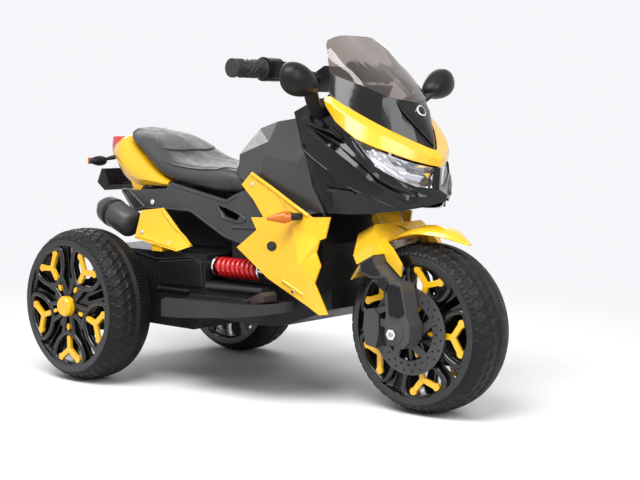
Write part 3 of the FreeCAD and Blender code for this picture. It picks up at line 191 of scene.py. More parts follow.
YELLOW = moulded("yellow_gloss", (0.90, 0.485, 0.006), (0.93, 0.51, 0.008), rough=0.24, grain=700.0,
                 depth=0.000006, coat=0.4, worn=(1.0, 0.64, 0.05))
TYRE = moulded("tyre_moulding", (0.006, 0.006, 0.0065), (0.011, 0.011, 0.012), rough=0.44, grain=1500.0,
               depth=0.00008, worn=(0.05, 0.05, 0.052), shine=0.2)
GLOSS_BLACK = moulded("black_gloss", (0.003, 0.003, 0.0035), (0.005, 0.005, 0.0055), rough=0.13,
                      grain=300.0, depth=0.000005, coat=0.14, shine=0.3)
BLACK = moulded("black_satin", (0.007, 0.007, 0.0075), (0.011, 0.011, 0.012), rough=0.34, grain=1100.0,
                depth=0.00005, worn=(0.045, 0.045, 0.048), shine=0.2)
DARK_GREY = moulded("grey_satin", (0.050, 0.050, 0.053), (0.068, 0.068, 0.072), rough=0.34, grain=1200.0,
                    depth=0.00005, worn=(0.09, 0.09, 0.093), shine=0.35)
TANK_GREY = moulded("tank_gloss", (0.034, 0.034, 0.036), (0.046, 0.046, 0.049), rough=0.34, grain=300.0,
                    depth=0.000003, coat=0.06)
BOARD = moulded("board_satin", (0.017, 0.017, 0.018), (0.026, 0.026, 0.028), rough=0.4, grain=1200.0,
                depth=0.00005, worn=(0.07, 0.07, 0.073), shine=0.3)
RIM_BLACK = moulded("rim_gloss", (0.004, 0.004, 0.0045), (0.006, 0.006, 0.0065), rough=0.24, grain=500.0,
                    depth=0.00001, coat=0.2)
SEAT_GREY = moulded("seat_grain", (0.030, 0.030, 0.033), (0.044, 0.044, 0.048), rough=0.5, grain=650.0,
                    depth=0.0002, worn=(0.075, 0.075, 0.08))
RUBBER = moulded("grip_rubber_skin", (0.012, 0.012, 0.012), (0.02, 0.02, 0.021), rough=0.55,
                 grain=1400.0, depth=0.0001)
PEDAL_BROWN = moulded("pedal_moulding", (0.030, 0.020, 0.016), (0.045, 0.032, 0.027), rough=0.5,
                      depth=0.0001)
RED = moulded("spring_paint", (0.55, 0.004, 0.006), (0.68, 0.008, 0.010), rough=0.2, grain=300.0,
              depth=0.00002, coat=0.6, worn=(0.8, 0.05, 0.04))
BUTTON_RED = moulded("button_moulding", (0.42, 0.006, 0.008), (0.5, 0.01, 0.012), rough=0.3, grain=500.0,
                     depth=0.00003, coat=0.2)
NATURAL = moulded("bush_moulding", (0.42, 0.41, 0.38), (0.5, 0.49, 0.46), rough=0.45)
GREY_BOX = moulded("box_moulding", (0.035, 0.035, 0.037), (0.055, 0.055, 0.058), rough=0.5)
STEEL = metal("steel_brushed", (0.34, 0.34, 0.35), (0.48, 0.48, 0.49), rough=0.34)
CHROME = metal("chrome_plate", (0.78, 0.78, 0.79), (0.9, 0.9, 0.91), rough=0.08)
MIRROR = metal("mirror_coating", (0.82, 0.83, 0.85), (0.9, 0.9, 0.92), rough=0.03)
TAIL_RED = clear("tail_lens", (0.80, 0.09, 0.12), (0.90, 0.14, 0.18), rough=0.12, weight=0.25)
AMBER = clear("amber_lens", (0.62, 0.13, 0.004), (0.74, 0.20, 0.01), rough=0.10, weight=0.2)
LENS = clear("lamp_lens", (0.93, 0.94, 0.96), (0.98, 0.98, 1.0), rough=0.03, weight=1.0)
SMOKE = clear("smoked_screen", (0.30, 0.25, 0.22), (0.36, 0.31, 0.28), rough=0.05, weight=0.92)

FINISH = {
    "tyre_black": TYRE, "rim_black": RIM_BLACK, "yellow": YELLOW, "disc_grey": DARK_GREY,
    "steel": STEEL, "chrome": CHROME, "damper_metal": CHROME, "mirror_glass": MIRROR,
    "bar_black": BLACK, "body_black": BLACK, "switch_black": BLACK, "gloss_black": GLOSS_BLACK,
    "tank_grey": TANK_GREY, "seat_grey": SEAT_GREY, "board_grey": BOARD, "battery_grey": GREY_BOX,
    "grip_rubber": RUBBER, "bush_plastic": NATURAL, "pedal_brown": PEDAL_BROWN,
    "spring_red": RED, "button_red": BUTTON_RED, "tail_red": TAIL_RED, "amber": AMBER,
    "clear": LENS, "smoke": SMOKE}
for name, node in NODES.items():
    node.data.materials.clear()
    node.data.materials.append(FINISH[SLOT_OF[name]])


# Pieces
SOFT_EDGE = 0.0012
EDGE_STEPS = 3
SHARP_ANGLE = 28
SMOOTH_ANGLE = 40
SAME_POINT = 0.00002
SAME_PLANE = 1.0


def piece(name, mesh, body, slot, *replaced):
    """Object in the shared frame that rides on a body, takes a slot's finish and stands for CAD nodes."""
    obj = bpy.data.objects.new(name, mesh)
    bpy.context.scene.collection.objects.link(obj)
    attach(obj, body)
    if replaced:
        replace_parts(obj, *replaced)
    mesh.materials.clear()
    mesh.materials.append(FINISH[slot])
    return obj


def smooth(bm, angle):
    """Smooth shading, with edges sharper than the angle kept crisp."""
    limit = math.radians(angle)
    for face in bm.faces:
        face.smooth = True
    for edge in bm.edges:
        edge.smooth = len(edge.link_faces) == 2 and edge.calc_face_angle(0.0) < limit


def bevel(obj, width, segments=EDGE_STEPS, angle=SHARP_ANGLE):
    """Rounded edges, with normals that keep the flat faces flat."""
    mod = obj.modifiers.new("rounding", "BEVEL")
    mod.width = width
    mod.segments = segments
    mod.limit_method = "ANGLE"
    mod.angle_limit = math.radians(angle)
    mod.harden_normals = True
    mod.miter_outer = "MITER_ARC"
    mod = obj.modifiers.new("normals", "WEIGHTED_NORMAL")
    mod.keep_sharp = True


def skin(node, width=SOFT_EDGE, segments=EDGE_STEPS, bend=None):
    """The node's own shape, bent where wanted, with its flat faces joined up and its edges rounded."""
    bm = bmesh.new()
    bm.from_mesh(NODES[node].data)
    bmesh.ops.remove_doubles(bm, verts=bm.verts, dist=SAME_POINT)
    if bend:
        for vert in bm.verts:
            vert.co = bend(vert.co)
    bmesh.ops.dissolve_limit(bm, angle_limit=math.radians(SAME_PLANE), verts=bm.verts, edges=bm.edges)
    smooth(bm, SHARP_ANGLE)
    mesh = bpy.data.meshes.new(node + "_skin")
    bm.to_mesh(mesh)
    bm.free()
    bevel(piece(node + "_skin", mesh, BODY_OF[node], SLOT_OF[node], node), width, segments)


def finished(name, bm, angle=SMOOTH_ANGLE):
    """Mesh made from the working shape, with its faces turned outwards."""
    bmesh.ops.recalc_face_normals(bm, faces=bm.faces)
    smooth(bm, angle)
    mesh = bpy.data.meshes.new(name)
    bm.to_mesh(mesh)
    bm.free()
    return mesh


MOST_OF_SIDE = 0.48
CORNER_STEPS = 6


def rounded(points, radius, closed=True):
    """Polygon with its corners turned into short curves."""
    made = []
    count = len(points)
    for k, corner in enumerate(points):
        if not closed and k in (0, count - 1):
            made.append(corner)
            continue
        ends = []
        for other in (points[k - 1], points[(k + 1) % count]):
            way = other - corner
            ends.append(corner + way * min(radius / way.length, MOST_OF_SIDE))
        for step in range(CORNER_STEPS + 1):
            t = step / CORNER_STEPS
            made.append(ends[0] * (1 - t) ** 2 + corner * 2 * t * (1 - t) + ends[1] * t * t)
    return made


def tube_into(bm, line, wide, deep, axis, closed=True, sides=12):
    """Tube along a line, wide across it and deep along the given axis."""
    rings = []
    count = len(line)
    for k, p in enumerate(line):
        before = line[k - 1] if closed or k else p
        after = line[(k + 1) % count] if closed or k < count - 1 else p
        across = (after - before).cross(axis).normalized()
        ring = []
        for s in range(sides):
            a = 2 * math.pi * s / sides
            ring.append(bm.verts.new(p + across * wide * math.cos(a) + axis * deep * math.sin(a)))
        rings.append(ring)
    for k in range(count if closed else count - 1):
        a, b = rings[k], rings[(k + 1) % count]
        for s in range(sides):
            bm.faces.new((a[s], a[(s + 1) % sides], b[(s + 1) % sides], b[s]))
    if not closed:
        bm.faces.new(rings[0])
        bm.faces.new(list(reversed(rings[-1])))


def mirrored(bm):
    """Copy everything to the other side of the middle plane and join the halves there."""
    copy = bmesh.ops.duplicate(bm, geom=bm.verts[:] + bm.edges[:] + bm.faces[:])["geom"]
    bmesh.ops.scale(bm, vec=(1, -1, 1), verts=[g for g in copy if isinstance(g, bmesh.types.BMVert)])
    bmesh.ops.reverse_faces(bm, faces=[g for g in copy if isinstance(g, bmesh.types.BMFace)])
    middle = [v for v in bm.verts if abs(v.co.y) < ON_MIDDLE]
    bmesh.ops.remove_doubles(bm, verts=middle, dist=ON_MIDDLE)


def bridged(bm, rings):
    """Closed skin over a row of rings."""
    for a, b in zip(rings, rings[1:]):
        count = len(a)
        for k in range(count):
            bm.faces.new((a[k], a[(k + 1) % count], b[(k + 1) % count], b[k]))
    bm.faces.new(list(reversed(rings[0])))
    bm.faces.new(rings[-1])


def lathe_into(bm, start, way, profile, sides):
    """Turned shape along a direction: the profile has distances along it and radii, in mm."""
    side = way.orthogonal().normalized()
    other = way.cross(side)
    rings = []
    for reach, r in profile:
        ring = []
        for k in range(sides):
            a = 2 * math.pi * k / sides
            out = side * math.cos(a) + other * math.sin(a)
            ring.append(bm.verts.new(start + way * reach * MM + out * r * MM))
        rings.append(ring)
    bridged(bm, rings)


def facets(name, node, points, faces, slot, thick, edge, limit):
    """Cover of flat faces on both sides of the body in place of a node: points by name, in mm."""
    bm = bmesh.new()
    made = {key: bm.verts.new(at(*p)) for key, p in points.items()}
    for face in faces:
        bm.faces.new([made[key] for key in face.split()])
    mirrored(bm)
    obj = piece(name, finished(name, bm, limit), BODY_OF[node], slot, node)
    wall = obj.modifiers.new("wall", "SOLIDIFY")
    wall.thickness = thick
    bevel(obj, edge, angle=limit)


# Raised panels that follow the solids under them, and the directions in which they are set down on them
AIM = Vector((-0.662, 0.744, -0.094))
SIDEWAYS = Vector((0, 1, 0))
DOWN = Vector((0, 0, -1))
UP = Vector((0, 0, 1))
FORWARD = Vector((-0.8, 0, -0.6))
SEARCH_BACK = 0.25
SEARCH_MISS = 0.03
SKIRT = 0.0018
PANEL_STEP = 0.006
RIM_CLEAR = 0.6
LIFT_FALL = 3
NEAR = 1e-5
ON_LINE = 1e-6
MERGE = 1e-7
DISC_CORNERS = 28
DISC_STEP = 0.003
DISC_EDGE = 0.0008
RIDGE_CUTS = 4


def tree_of(nodes):
    """Search tree over the faces of one or more nodes."""
    points, faces = [], []
    for node in nodes:
        mesh = NODES[node].data
        first = len(points)
        points += [v.co.copy() for v in mesh.vertices]
        faces += [[first + k for k in f.vertices] for f in mesh.polygons]
    return BVHTree.FromPolygons(points, faces)


def landed(tree, point, aim):
    """Nearest place where a line along the aim meets the surface, with the normal that faces it."""
    place, normal, _, _ = tree.ray_cast(point - aim * SEARCH_BACK, aim)
    if place is None or (place - point).length > SEARCH_MISS:
        place, normal, _, _ = tree.find_nearest(point)
    return place, normal if normal.dot(aim) < 0 else -normal


def along(corners, step):
    """Closed outline cut into short steps; each corner is a place and a lift."""
    made = []
    for (a, la), (b, lb) in zip(corners, corners[1:] + corners[:1]):
        count = max(1, round((b - a).length / step))
        made += [(a.lerp(b, k / count), la + (lb - la) * k / count) for k in range(count)]
    return made


def panel(name, nodes, outline, slot, aim=AIM, step=PANEL_STEP, edge=SOFT_EDGE, even=0, both=True):
    """Closed plate on the surface, as a rule on both sides: x, y, height and lift off it, in mm."""
    tree = tree_of(nodes)
    rim = along([(at(x, y, h), lift * MM) for x, y, h, lift in outline], step)
    across = aim.orthogonal().normalized() if aim == DOWN else aim.cross(UP).normalized()
    up = across.cross(aim)
    flat = [Vector((p.dot(across), p.dot(up))) for p, _ in rim]
    inside = []
    low = Vector((min(p.x for p in flat), min(p.y for p in flat)))
    high = Vector((max(p.x for p in flat), max(p.y for p in flat)))
    for row in range(int((high.y - low.y) / step) + 1):
        for column in range(int((high.x - low.x) / step) + 1):
            q = low + Vector((column + 0.5 * (row % 2), row)) * step
            if min((q - p).length for p in flat) > RIM_CLEAR * step:
                inside.append(q)
    loop = [(k, (k + 1) % len(flat)) for k in range(len(flat))]
    points, _, faces, *_ = delaunay_2d_cdt(flat + inside, loop, [], 1, MERGE)
    tops, feet = [], []
    for q in points:
        weights = [1 / ((q - p).length + NEAR) ** LIFT_FALL for p in flat]
        lift = sum(w * rise for w, (_, rise) in zip(weights, rim)) / sum(weights)
        nearest = max(range(len(flat)), key=weights.__getitem__)
        guess = across * q.x + up * q.y + aim * rim[nearest][0].dot(aim)
        place, normal = landed(tree, guess, aim)
        if abs(guess.y) < ON_LINE:
            place.y = normal.y = 0.0
        tops.append(place + normal * lift)
        feet.append(place - normal * SKIRT)
    bm = bmesh.new()
    upper = [bm.verts.new(p) for p in tops]
    for face in faces:
        bm.faces.new([upper[k] for k in face])
    for _ in range(even):
        bmesh.ops.smooth_vert(bm, verts=[v for v in upper if not v.is_boundary], factor=0.5,
                              use_axis_x=True, use_axis_y=True, use_axis_z=True)
    lower = [bm.verts.new(p) for p in feet]
    bm.verts.index_update()
    open_edges = [e for e in bm.edges if e.is_boundary]
    for face in faces:
        bm.faces.new([lower[k] for k in reversed(face)])
    for rim_edge in open_edges:
        a, b = (v.index for v in rim_edge.verts)
        if max(abs(upper[a].co.y), abs(upper[b].co.y)) > ON_MIDDLE:
            bm.faces.new((upper[a], upper[b], lower[b], lower[a]))
    if both:
        mirrored(bm)
    obj = piece(name, finished(name, bm), BODY_OF[nodes[0]], slot)
    bevel(obj, edge, angle=SMOOTH_ANGLE)


def disc(name, nodes, centre, radius, slot, lift=2.5, aim=AIM, both=True):
    """Plain round plate on the surface: sizes in mm."""
    across = aim.cross(UP).normalized()
    up = across.cross(aim)
    ring = []
    for k in range(DISC_CORNERS):
        a = 2 * math.pi * k / DISC_CORNERS
        p = Vector(centre) + (across * math.cos(a) + up * math.sin(a)) * radius
        ring.append((p.x, p.y, p.z, lift))
    panel(name, nodes, ring, slot, aim, DISC_STEP, DISC_EDGE, both=both)


def ridge(name, nodes, line, slot, wide=2.0, deep=2.0, closed=False, corner=8.0, aim=AIM, lift=0.0):
    """Rounded bead along a line over the surface, on both sides of the body: sizes in mm."""
    tree = tree_of(nodes)
    route = rounded([at(*p) for p in line], corner * MM, closed)
    if not closed:
        cuts = [k / RIDGE_CUTS for k in range(RIDGE_CUTS)]
        route = [a.lerp(b, cut) for a, b in zip(route, route[1:]) for cut in cuts] + route[-1:]
    spots = [landed(tree, p, aim) for p in route]
    axis = sum((n for _, n in spots), Vector()).normalized()
    bm = bmesh.new()
    tube_into(bm, [p + n * lift * MM for p, n in spots], wide * MM, deep * MM, axis, closed)
    mirrored(bm)
    piece(name, finished(name, bm), BODY_OF[nodes[0]], slot)


# Tyres: the profile is half-width and radius at the side, shoulder and tread edge, in metres
WHEEL_R = 0.1599
TYRE_SIDE, TYRE_SHOULDER, TREAD_EDGE = (-0.055, 0.1394), (-0.040, 0.1525), (-0.020, 0.1585)
BEAD_HALF, BEAD_R = 0.0486, 0.1316
ARC_STEPS = 28
SEGMENTS = 800
RIBS = 160
RIB_SHARE = 0.45
LOBES = 44
LOBE_PITCH = 2 * math.pi * WHEEL_R / LOBES
LOBE_ROWS = (-0.0455, -0.0285, -0.0115)
LOBE_ARM = 0.0080
LOBE_CREST, LOBE_FOOT = 0.00156, 0.0039
LOBE_ARMS = (90, 210, 330)
GROOVE = 0.0026
LOBE_GROOVE = 0.9 * GROOVE
LOBE_ZONE = (-0.0545, -0.0525, 0.001, 0.003)
GROOVE_ZONE = (0.0045, 0.006, 0.0075, 0.009)
RIB_ZONE = (0.010, 0.0115, 0.043, 0.0445)


def arc(a, b, c, count):
    """Points on the circle through three points, from the first to the last."""
    ax, ay = a
    bx, by = b
    cx, cy = c
    d = 2 * (ax * (by - cy) + bx * (cy - ay) + cx * (ay - by))
    ux = ((ax**2 + ay**2) * (by - cy) + (bx**2 + by**2) * (cy - ay) + (cx**2 + cy**2) * (ay - by)) / d
    uy = ((ax**2 + ay**2) * (cx - bx) + (bx**2 + by**2) * (ax - cx) + (cx**2 + cy**2) * (bx - ax)) / d
    r = math.hypot(ax - ux, ay - uy)
    start = math.atan2(ay - uy, ax - ux)
    turn = (math.atan2(cy - uy, cx - ux) - start + math.pi) % (2 * math.pi) - math.pi
    return [(ux + r * math.cos(start + turn * k / count), uy + r * math.sin(start + turn * k / count))
            for k in range(count + 1)]


def ease(value, low, high):
    """Smooth rise from zero to one between two values."""
    t = np.clip((value - low) / (high - low), 0, 1)
    return t * t * (3 - 2 * t)


def zone(value, start, full, fall, end):
    """Smooth rise from zero to one, and back to zero."""
    return ease(value, start, full) * (1 - ease(value, fall, end))


def tread_depth(around, y):
    """Depth of the tread below the plain tyre: lobes outside, a groove, then cross ribs inside."""
    nearest = np.full(around.shape, 1.0)
    for row, middle in enumerate(LOBE_ROWS):
        s = (around / LOBE_PITCH + 0.5 * (row % 2)) % 1.0
        u, v = (s - 0.5) * LOBE_PITCH, y - middle
        for angle in LOBE_ARMS:
            dx, dy = math.cos(math.radians(angle)), math.sin(math.radians(angle))
            t = np.clip(u * dx + v * dy, 0, LOBE_ARM)
            nearest = np.minimum(nearest, np.hypot(u - t * dx, v - t * dy))
    depth = LOBE_GROOVE * zone(y, *LOBE_ZONE) * ease(nearest, LOBE_CREST, LOBE_FOOT)
    depth += GROOVE * zone(y, *GROOVE_ZONE)
    phase = around / (2 * math.pi * WHEEL_R) * RIBS % 1.0
    depth += GROOVE * zone(y, *RIB_ZONE) * (phase < RIB_SHARE)
    return depth


def tyre(name, centre, side):
    """Tyre with its lobed half on one side: -1 right, 1 left."""
    half = [TYRE_SIDE, TYRE_SHOULDER, TREAD_EDGE]
    other = [(-y, r) for y, r in reversed(half)]
    crown = arc(TREAD_EDGE, (0.0, WHEEL_R), other[0], ARC_STEPS)
    profile = arc(*half, ARC_STEPS)[:-1] + crown[:-1] + arc(*other, ARC_STEPS)
    outer = len(profile)
    seat_r = TYRE_SIDE[1]
    profile += [(BEAD_HALF, seat_r), (BEAD_HALF, BEAD_R), (-BEAD_HALF, BEAD_R), (-BEAD_HALF, seat_r)]
    y, r = np.array(profile).T
    turn = np.arange(SEGMENTS) / SEGMENTS * 2 * math.pi
    y = np.repeat(y[None, :], SEGMENTS, 0)
    r = np.repeat(r[None, :], SEGMENTS, 0)
    r[:, :outer] -= tread_depth(turn[:, None] * WHEEL_R + 0 * y[:, :outer], y[:, :outer])
    points = np.stack([r * np.cos(turn)[:, None], -side * y, r * np.sin(turn)[:, None]], -1)
    points += np.array(centre)
    rows = len(profile)
    k, j = np.meshgrid(np.arange(SEGMENTS), np.arange(rows), indexing="ij")
    k2, j2 = (k + 1) % SEGMENTS, (j + 1) % rows
    faces = np.stack([k * rows + j, k * rows + j2, k2 * rows + j2, k2 * rows + j], -1).reshape(-1, 4)
    if side > 0:
        faces = faces[:, ::-1]
    mesh = bpy.data.meshes.new(name)
    mesh.from_pydata(points.reshape(-1, 3).tolist(), [], faces.tolist())
    mesh.polygons.foreach_set("use_smooth", [True] * len(mesh.polygons))
    return mesh


# Rims: pocket corners as radius and angle from the pocket's middle
POCKETS = 5
POCKET_CORNERS = ((0.1255, -25), (0.1305, 0), (0.1255, 25), (0.088, 27), (0.0575, 12), (0.0575, -12),
                  (0.088, -27))
POCKET_ROUND = 0.016
BORDER_Y = 0.0490
BORDER_HALF = 0.0056
BORDER_DEEP, ARM_DEEP = 0.0055, 0.0050
ARM_IN, ARM_OUT = 0.024, 0.064
ARM_TURN = 16
ARM_SLANT = 1.7


def polar(r, degrees, y):
    """Point of a wheel from its radius, angle and distance along the axle."""
    return Vector((r * math.cos(math.radians(degrees)), y, r * math.sin(math.radians(degrees))))


def rim_ridges(name, centre, phase, faces):
    """Rounded borders of the five pockets, with short arms from each pocket to the hub."""
    bm = bmesh.new()
    middle = Vector(centre)
    for face in faces:
        y = face * BORDER_Y
        for k in range(POCKETS):
            a = phase + 360 / POCKETS * k
            border = rounded([polar(r, a + turn, y) for r, turn in POCKET_CORNERS], POCKET_ROUND)
            tube_into(bm, [p + middle for p in border], BORDER_HALF, BORDER_DEEP, SIDEWAYS)
            for turn in (-ARM_TURN, ARM_TURN):
                arm = [polar(ARM_IN, a + turn * ARM_SLANT, y), polar(ARM_OUT, a + turn, y)]
                tube_into(bm, [p + middle for p in arm], BORDER_HALF, ARM_DEEP, SIDEWAYS, False)
    return finished(name, bm)


# Spoked webs and their yellow inserts, with radii and distances along the axle
WEB_FACE = 0.050
WEB_IN, WEB_OUT = 0.031, 0.1255
WEB_DISH = 0.007
ON_FACE = 0.0001
LUG_AT = 0.044
LUG_IN, LUG_OUT = 0.036, 0.052
LUG_STRETCH = 1.8
LUG_ROOT = 0.001
BAR_FROM = 0.058
BAR_BACK = 0.0450
INSERT_EDGE = 0.0026
INSERT_STEPS = 4


def dished(centre):
    """Move that sinks the face of a spoked web behind its raised borders."""
    def move(p):
        r = math.hypot(p.x - centre[0], p.z - centre[2])
        out = p.y - centre[1]
        if abs(abs(out) - WEB_FACE) < ON_FACE and WEB_IN < r < WEB_OUT:
            return p - Vector((0, math.copysign(WEB_DISH, out), 0))
        return p
    return move


def shaped_inserts(centre):
    """Move that thins the forked bars, and draws out the small lugs and roots them in the sunk web."""
    def move(p):
        arm = Vector((p.x - centre[0], 0, p.z - centre[2]))
        out = p.y - centre[1]
        if arm.length > BAR_FROM and abs(out) < BAR_BACK:
            return Vector((p.x, centre[1] + math.copysign(BAR_BACK, out), p.z))
        if not LUG_IN < arm.length < LUG_OUT:
            return p
        sunk = math.copysign(WEB_DISH + LUG_ROOT, out) if abs(abs(out) - WEB_FACE) < ON_FACE else 0.0
        grown = arm * ((LUG_AT + (arm.length - LUG_AT) * LUG_STRETCH) / arm.length)
        return p - arm + grown - Vector((0, sunk, 0))
    return move


# Wheels: end, hand, centre, body, lobed side, turn of the pockets, and the faces with borders
RIGHT_AXLE = (REAR_AXLE[0], -REAR_AXLE[1], AXLE_H)
WHEELS = (("front", "", FRONT_AXLE, "front_wheel", -1, -2.0, (-1, 1)),
          ("rear", "_right", RIGHT_AXLE, "rear_wheel_right", -1, -18.0, (-1,)),
          ("rear", "_left", REAR_AXLE, "rear_wheel_left", 1, -18.0, (1,)))
for end, hand, centre, body, side, phase, faces in WHEELS:
    node = end + "_tyre" + hand
    piece(node + "_tread", tyre(node + "_tread", centre, side), body, "tyre_black", node)
    name = end + "_rim_ridges" + hand
    piece(name, rim_ridges(name, centre, phase, faces), body, "rim_black")
    skin(end + "_rim" + hand, bend=dished(centre))
    skin(end + "_inserts" + hand, INSERT_EDGE, INSERT_STEPS, bend=shaped_inserts(centre))


# Nose folds: x, y, height from the axle line, lift off the surface
COWL = ["front_cowl"]
EAR_PLATE = [(170, -126, 390, 1), (186, -123, 411, 1), (208, -125, 401, 1), (232, -129, 381, 2),
             (256, -133, 373, 2), (277, -132, 359, 3), (281, -131, 351, 7), (243, -130, 368, 8),
             (200, -128, 377, 7), (172, -127, 387, 3)]
UPPER_BAND = [(178, -128, 383, 0.5), (200, -128, 373, 0.5), (243, -130, 363, 0.5), (281, -131, 346, 0.5),
              (300, -128, 329, 0.5), (322, -119, 306, 0.5), (340, -105, 289, 0.5), (362, -80, 271, 0.5),
              (384, -46, 255, 0.5), (385, -44, 247, 6), (364, -76, 261, 6.5), (338, -105, 282, 7),
              (313, -123, 310, 7), (273, -133, 341, 7), (222, -130, 364, 6), (180, -128, 380, 2)]
LOWER_BAND = [(200, -129, 370, 0.5), (222, -130, 360, 0.5), (273, -133, 337, 0.5), (313, -123, 306, 0.5),
              (338, -105, 278, 0.5), (364, -76, 257, 0.5), (385, -44, 243, 0.5), (378, -47, 236, 6),
              (359, -79, 252, 7), (325, -113, 280, 8), (292, -129, 312, 8), (254, -133, 336, 8),
              (215, -130, 359, 5)]
SIDE_BLADE = [(185, -129, 371, 0.5), (215, -130, 354, 0.5), (254, -133, 330, 0.5), (292, -129, 306, 0.5),
              (325, -113, 274, 0.5), (359, -79, 247, 0.5), (375, -47, 231, 0.5), (371, -47, 226, 2),
              (355, -64, 225, 4), (332, -94, 241, 6), (298, -119, 259, 7), (263, -130, 273, 8),
              (248, -131, 294, 10), (214, -131, 313, 9), (192, -131, 327, 7), (178, -130, 345, 3)]
SIDE_LEDGE = [(235, -129, 264, 7), (269, -128, 261, 7), (296, -121, 258, 7), (298, -119, 252, 5),
              (267, -126, 252, 5), (237, -128, 254, 5)]
for name, outline in (("ear_plate", EAR_PLATE), ("upper_band", UPPER_BAND), ("lower_band", LOWER_BAND),
                      ("side_blade", SIDE_BLADE), ("side_ledge", SIDE_LEDGE)):
    panel(name, COWL, outline, "gloss_black")

EAR_EDGE = [(174, -127, 386), (200, -128, 377), (243, -130, 368), (280, -131, 351)]
BLADE_EDGE = [(180, -130, 343), (192, -131, 328), (214, -131, 314), (247, -131, 295)]
CHIN_EDGE = [(264, -129, 273), (298, -119, 260), (332, -94, 242), (355, -64, 226)]
for name, line, lift in (("ear_edge", EAR_EDGE, 6.0), ("blade_edge", BLADE_EDGE, 7.5),
                         ("chin_edge", CHIN_EDGE, 5.0)):
    ridge(name, COWL, line, "gloss_black", deep=3.0, lift=lift)

CREST = [(331, -46, 419, 0.5), (340, -40, 401, 5), (351, -30, 385, 5), (366, -16, 362, 5),
         (384, 0, 338, 3), (372, 0, 360, 3), (358, 0, 388, 3), (345, 0, 415, 0.5)]
panel("cowl_crest", ["upper_cowl"], CREST, "gloss_black", FORWARD)
RECESS = [(172, -121, 332, 1), (166, -113, 345, 1), (200, -129, 320, 1), (250, -131, 290, 1),
          (247, -131, 282, 1), (263, -130, 269, 1), (243, -129, 262, 1), (246, -124, 230, 1),
          (224, -120, 214, 1), (196, -125, 263, 1)]
panel("tank_recess", ["tank_cover", "front_cowl"], RECESS, "body_black")

# Yellow trim over the headlights: upper edge, crease and lower edge, from the back to the tip
TRIM_TOP = [(232, -128, 430), (241, -125, 431), (267, -115, 414), (292, -102, 398), (316, -85, 382),
            (338, -66, 367), (363, -38, 350), (386, -10, 335), (391, 0, 332)]
TRIM_CREASE = [(231, -134, 424), (250, -131, 413), (278, -125, 397), (303, -116, 383), (329, -101, 366),
               (353, -82, 352), (376, -55, 335), (395, -24, 320), (404, 0, 314)]
TRIM_LOW = [(236, -133, 411), (260, -136, 385), (284, -135, 368), (305, -130, 353), (337, -111, 337),
            (356, -89, 327), (376, -58, 314), (393, -26, 305), (402, 0, 300)]


def strips(rows):
    """Named points of several rows, and the faces between neighbouring rows."""
    points = {}
    for r, row in enumerate(rows):
        for k, p in enumerate(row):
            points["%d.%d" % (r, k)] = p
    faces = []
    for r in range(len(rows) - 1):
        for k in range(len(rows[0]) - 1):
            faces.append("%d.%d %d.%d %d.%d %d.%d" % (r, k, r, k + 1, r + 1, k + 1, r + 1, k))
    return points, faces


facets("nose_trim_skin", "nose_trim", *strips([TRIM_TOP, TRIM_CREASE, TRIM_LOW]), "yellow",
       thick=0.003, edge=0.0015, limit=10)

# Tank: top line t, shoulder line s, foot line a, and the corners of the side facets
TANK_POINTS = {
    "t0": (-74, 0, 308), "t1": (-40, 0, 352), "t2": (8, 0, 385), "t3": (60, 0, 398),
    "t4": (110, 0, 402), "t5": (150, 0, 403),
    "s0": (-74, -30, 305), "s1": (-46, -58, 334), "s2": (0, -64, 370), "s3": (50, -66, 384),
    "s4": (100, -68, 390), "s5": (152, -80, 396),
    "q": (64, -106, 345), "r": (62, -119, 320), "b": (138, -128, 309), "c": (159, -128, 306),
    "e": (-22, -101, 318), "d": (180, -116, 335), "f": (194, -122, 290), "g": (190, -127, 262),
    "h": (218, -122, 213),
    "a0": (-74, -56, 297), "a1": (-52, -80, 285), "a2": (-25, -100, 273), "a3": (8, -113, 262),
    "a4": (45, -117, 258), "a5": (95, -121, 240), "a6": (140, -122, 222), "a7": (226, -119, 200)}
TANK_FACES = ["t0 t1 s1 s0", "t1 t2 s2 s1", "t2 t3 s3 s2", "t3 t4 s4 s3", "t4 t5 s5 s4",
              "s0 s1 a1 a0", "s1 e a2 a1", "s1 s2 q e", "s2 s3 q", "s3 s4 c q", "s4 s5 d c",
              "c d f g", "f a7 h g", "q c b r", "r b c g h a6 a5 a4", "q r a4 a3 e", "e a3 a2"]
facets("tank_skin", "tank_cover", TANK_POINTS, TANK_FACES, "tank_grey", thick=0.0025, edge=0.004, limit=4)


# Seat and tail
SEAT = ["seat"]
INWARDS = Vector((0, 0.6, -0.8))
SEAT_PAD = [(-264, -99, 300, 1), (-217, -98, 290, 3), (-175, -97, 285, 3.5), (-136, -94, 283, 3.5),
            (-102, -86, 284, 3), (-82, -58, 288, 1.5), (-74, 0, 287, 0.5), (-95, 0, 289, 0.5),
            (-150, 0, 289, 0.5), (-215, 0, 298, 0.5), (-238, 0, 309, 0.5), (-250, -45, 313, 0.5)]
SEAT_SIDE = [(-223, -101, 270, 3), (-168, -102, 265, 3), (-112, -97, 263, 3), (-73, -86, 263, 3),
             (-58, -74, 244, 2), (-95, -84, 246, 2), (-150, -94, 254, 2), (-205, -98, 264, 1)]
BOLSTER = [(-327, -45, 351, 2), (-340, -22, 356, 2), (-343, 0, 357, 2), (-300, 0, 344, 2.5),
           (-260, 0, 320, 2.5), (-262, -29, 319, 2.5), (-270, -65, 322, 2.5), (-283, -81, 324, 2)]
TAIL_FLANGE = [(-395, -93, 272, 0.5), (-365, -97, 269, 1.5), (-327, -101, 261, 2), (-293, -102, 258, 2),
               (-252, -98, 252, 2), (-262, -97, 248, 1), (-300, -97, 248, 1), (-350, -92, 248, 1),
               (-385, -87, 259, 1)]
panel("seat_pad", SEAT, SEAT_PAD, "seat_grey", INWARDS, edge=0.002, even=20)
panel("seat_side", SEAT, SEAT_SIDE, "seat_grey", edge=0.002, even=4)
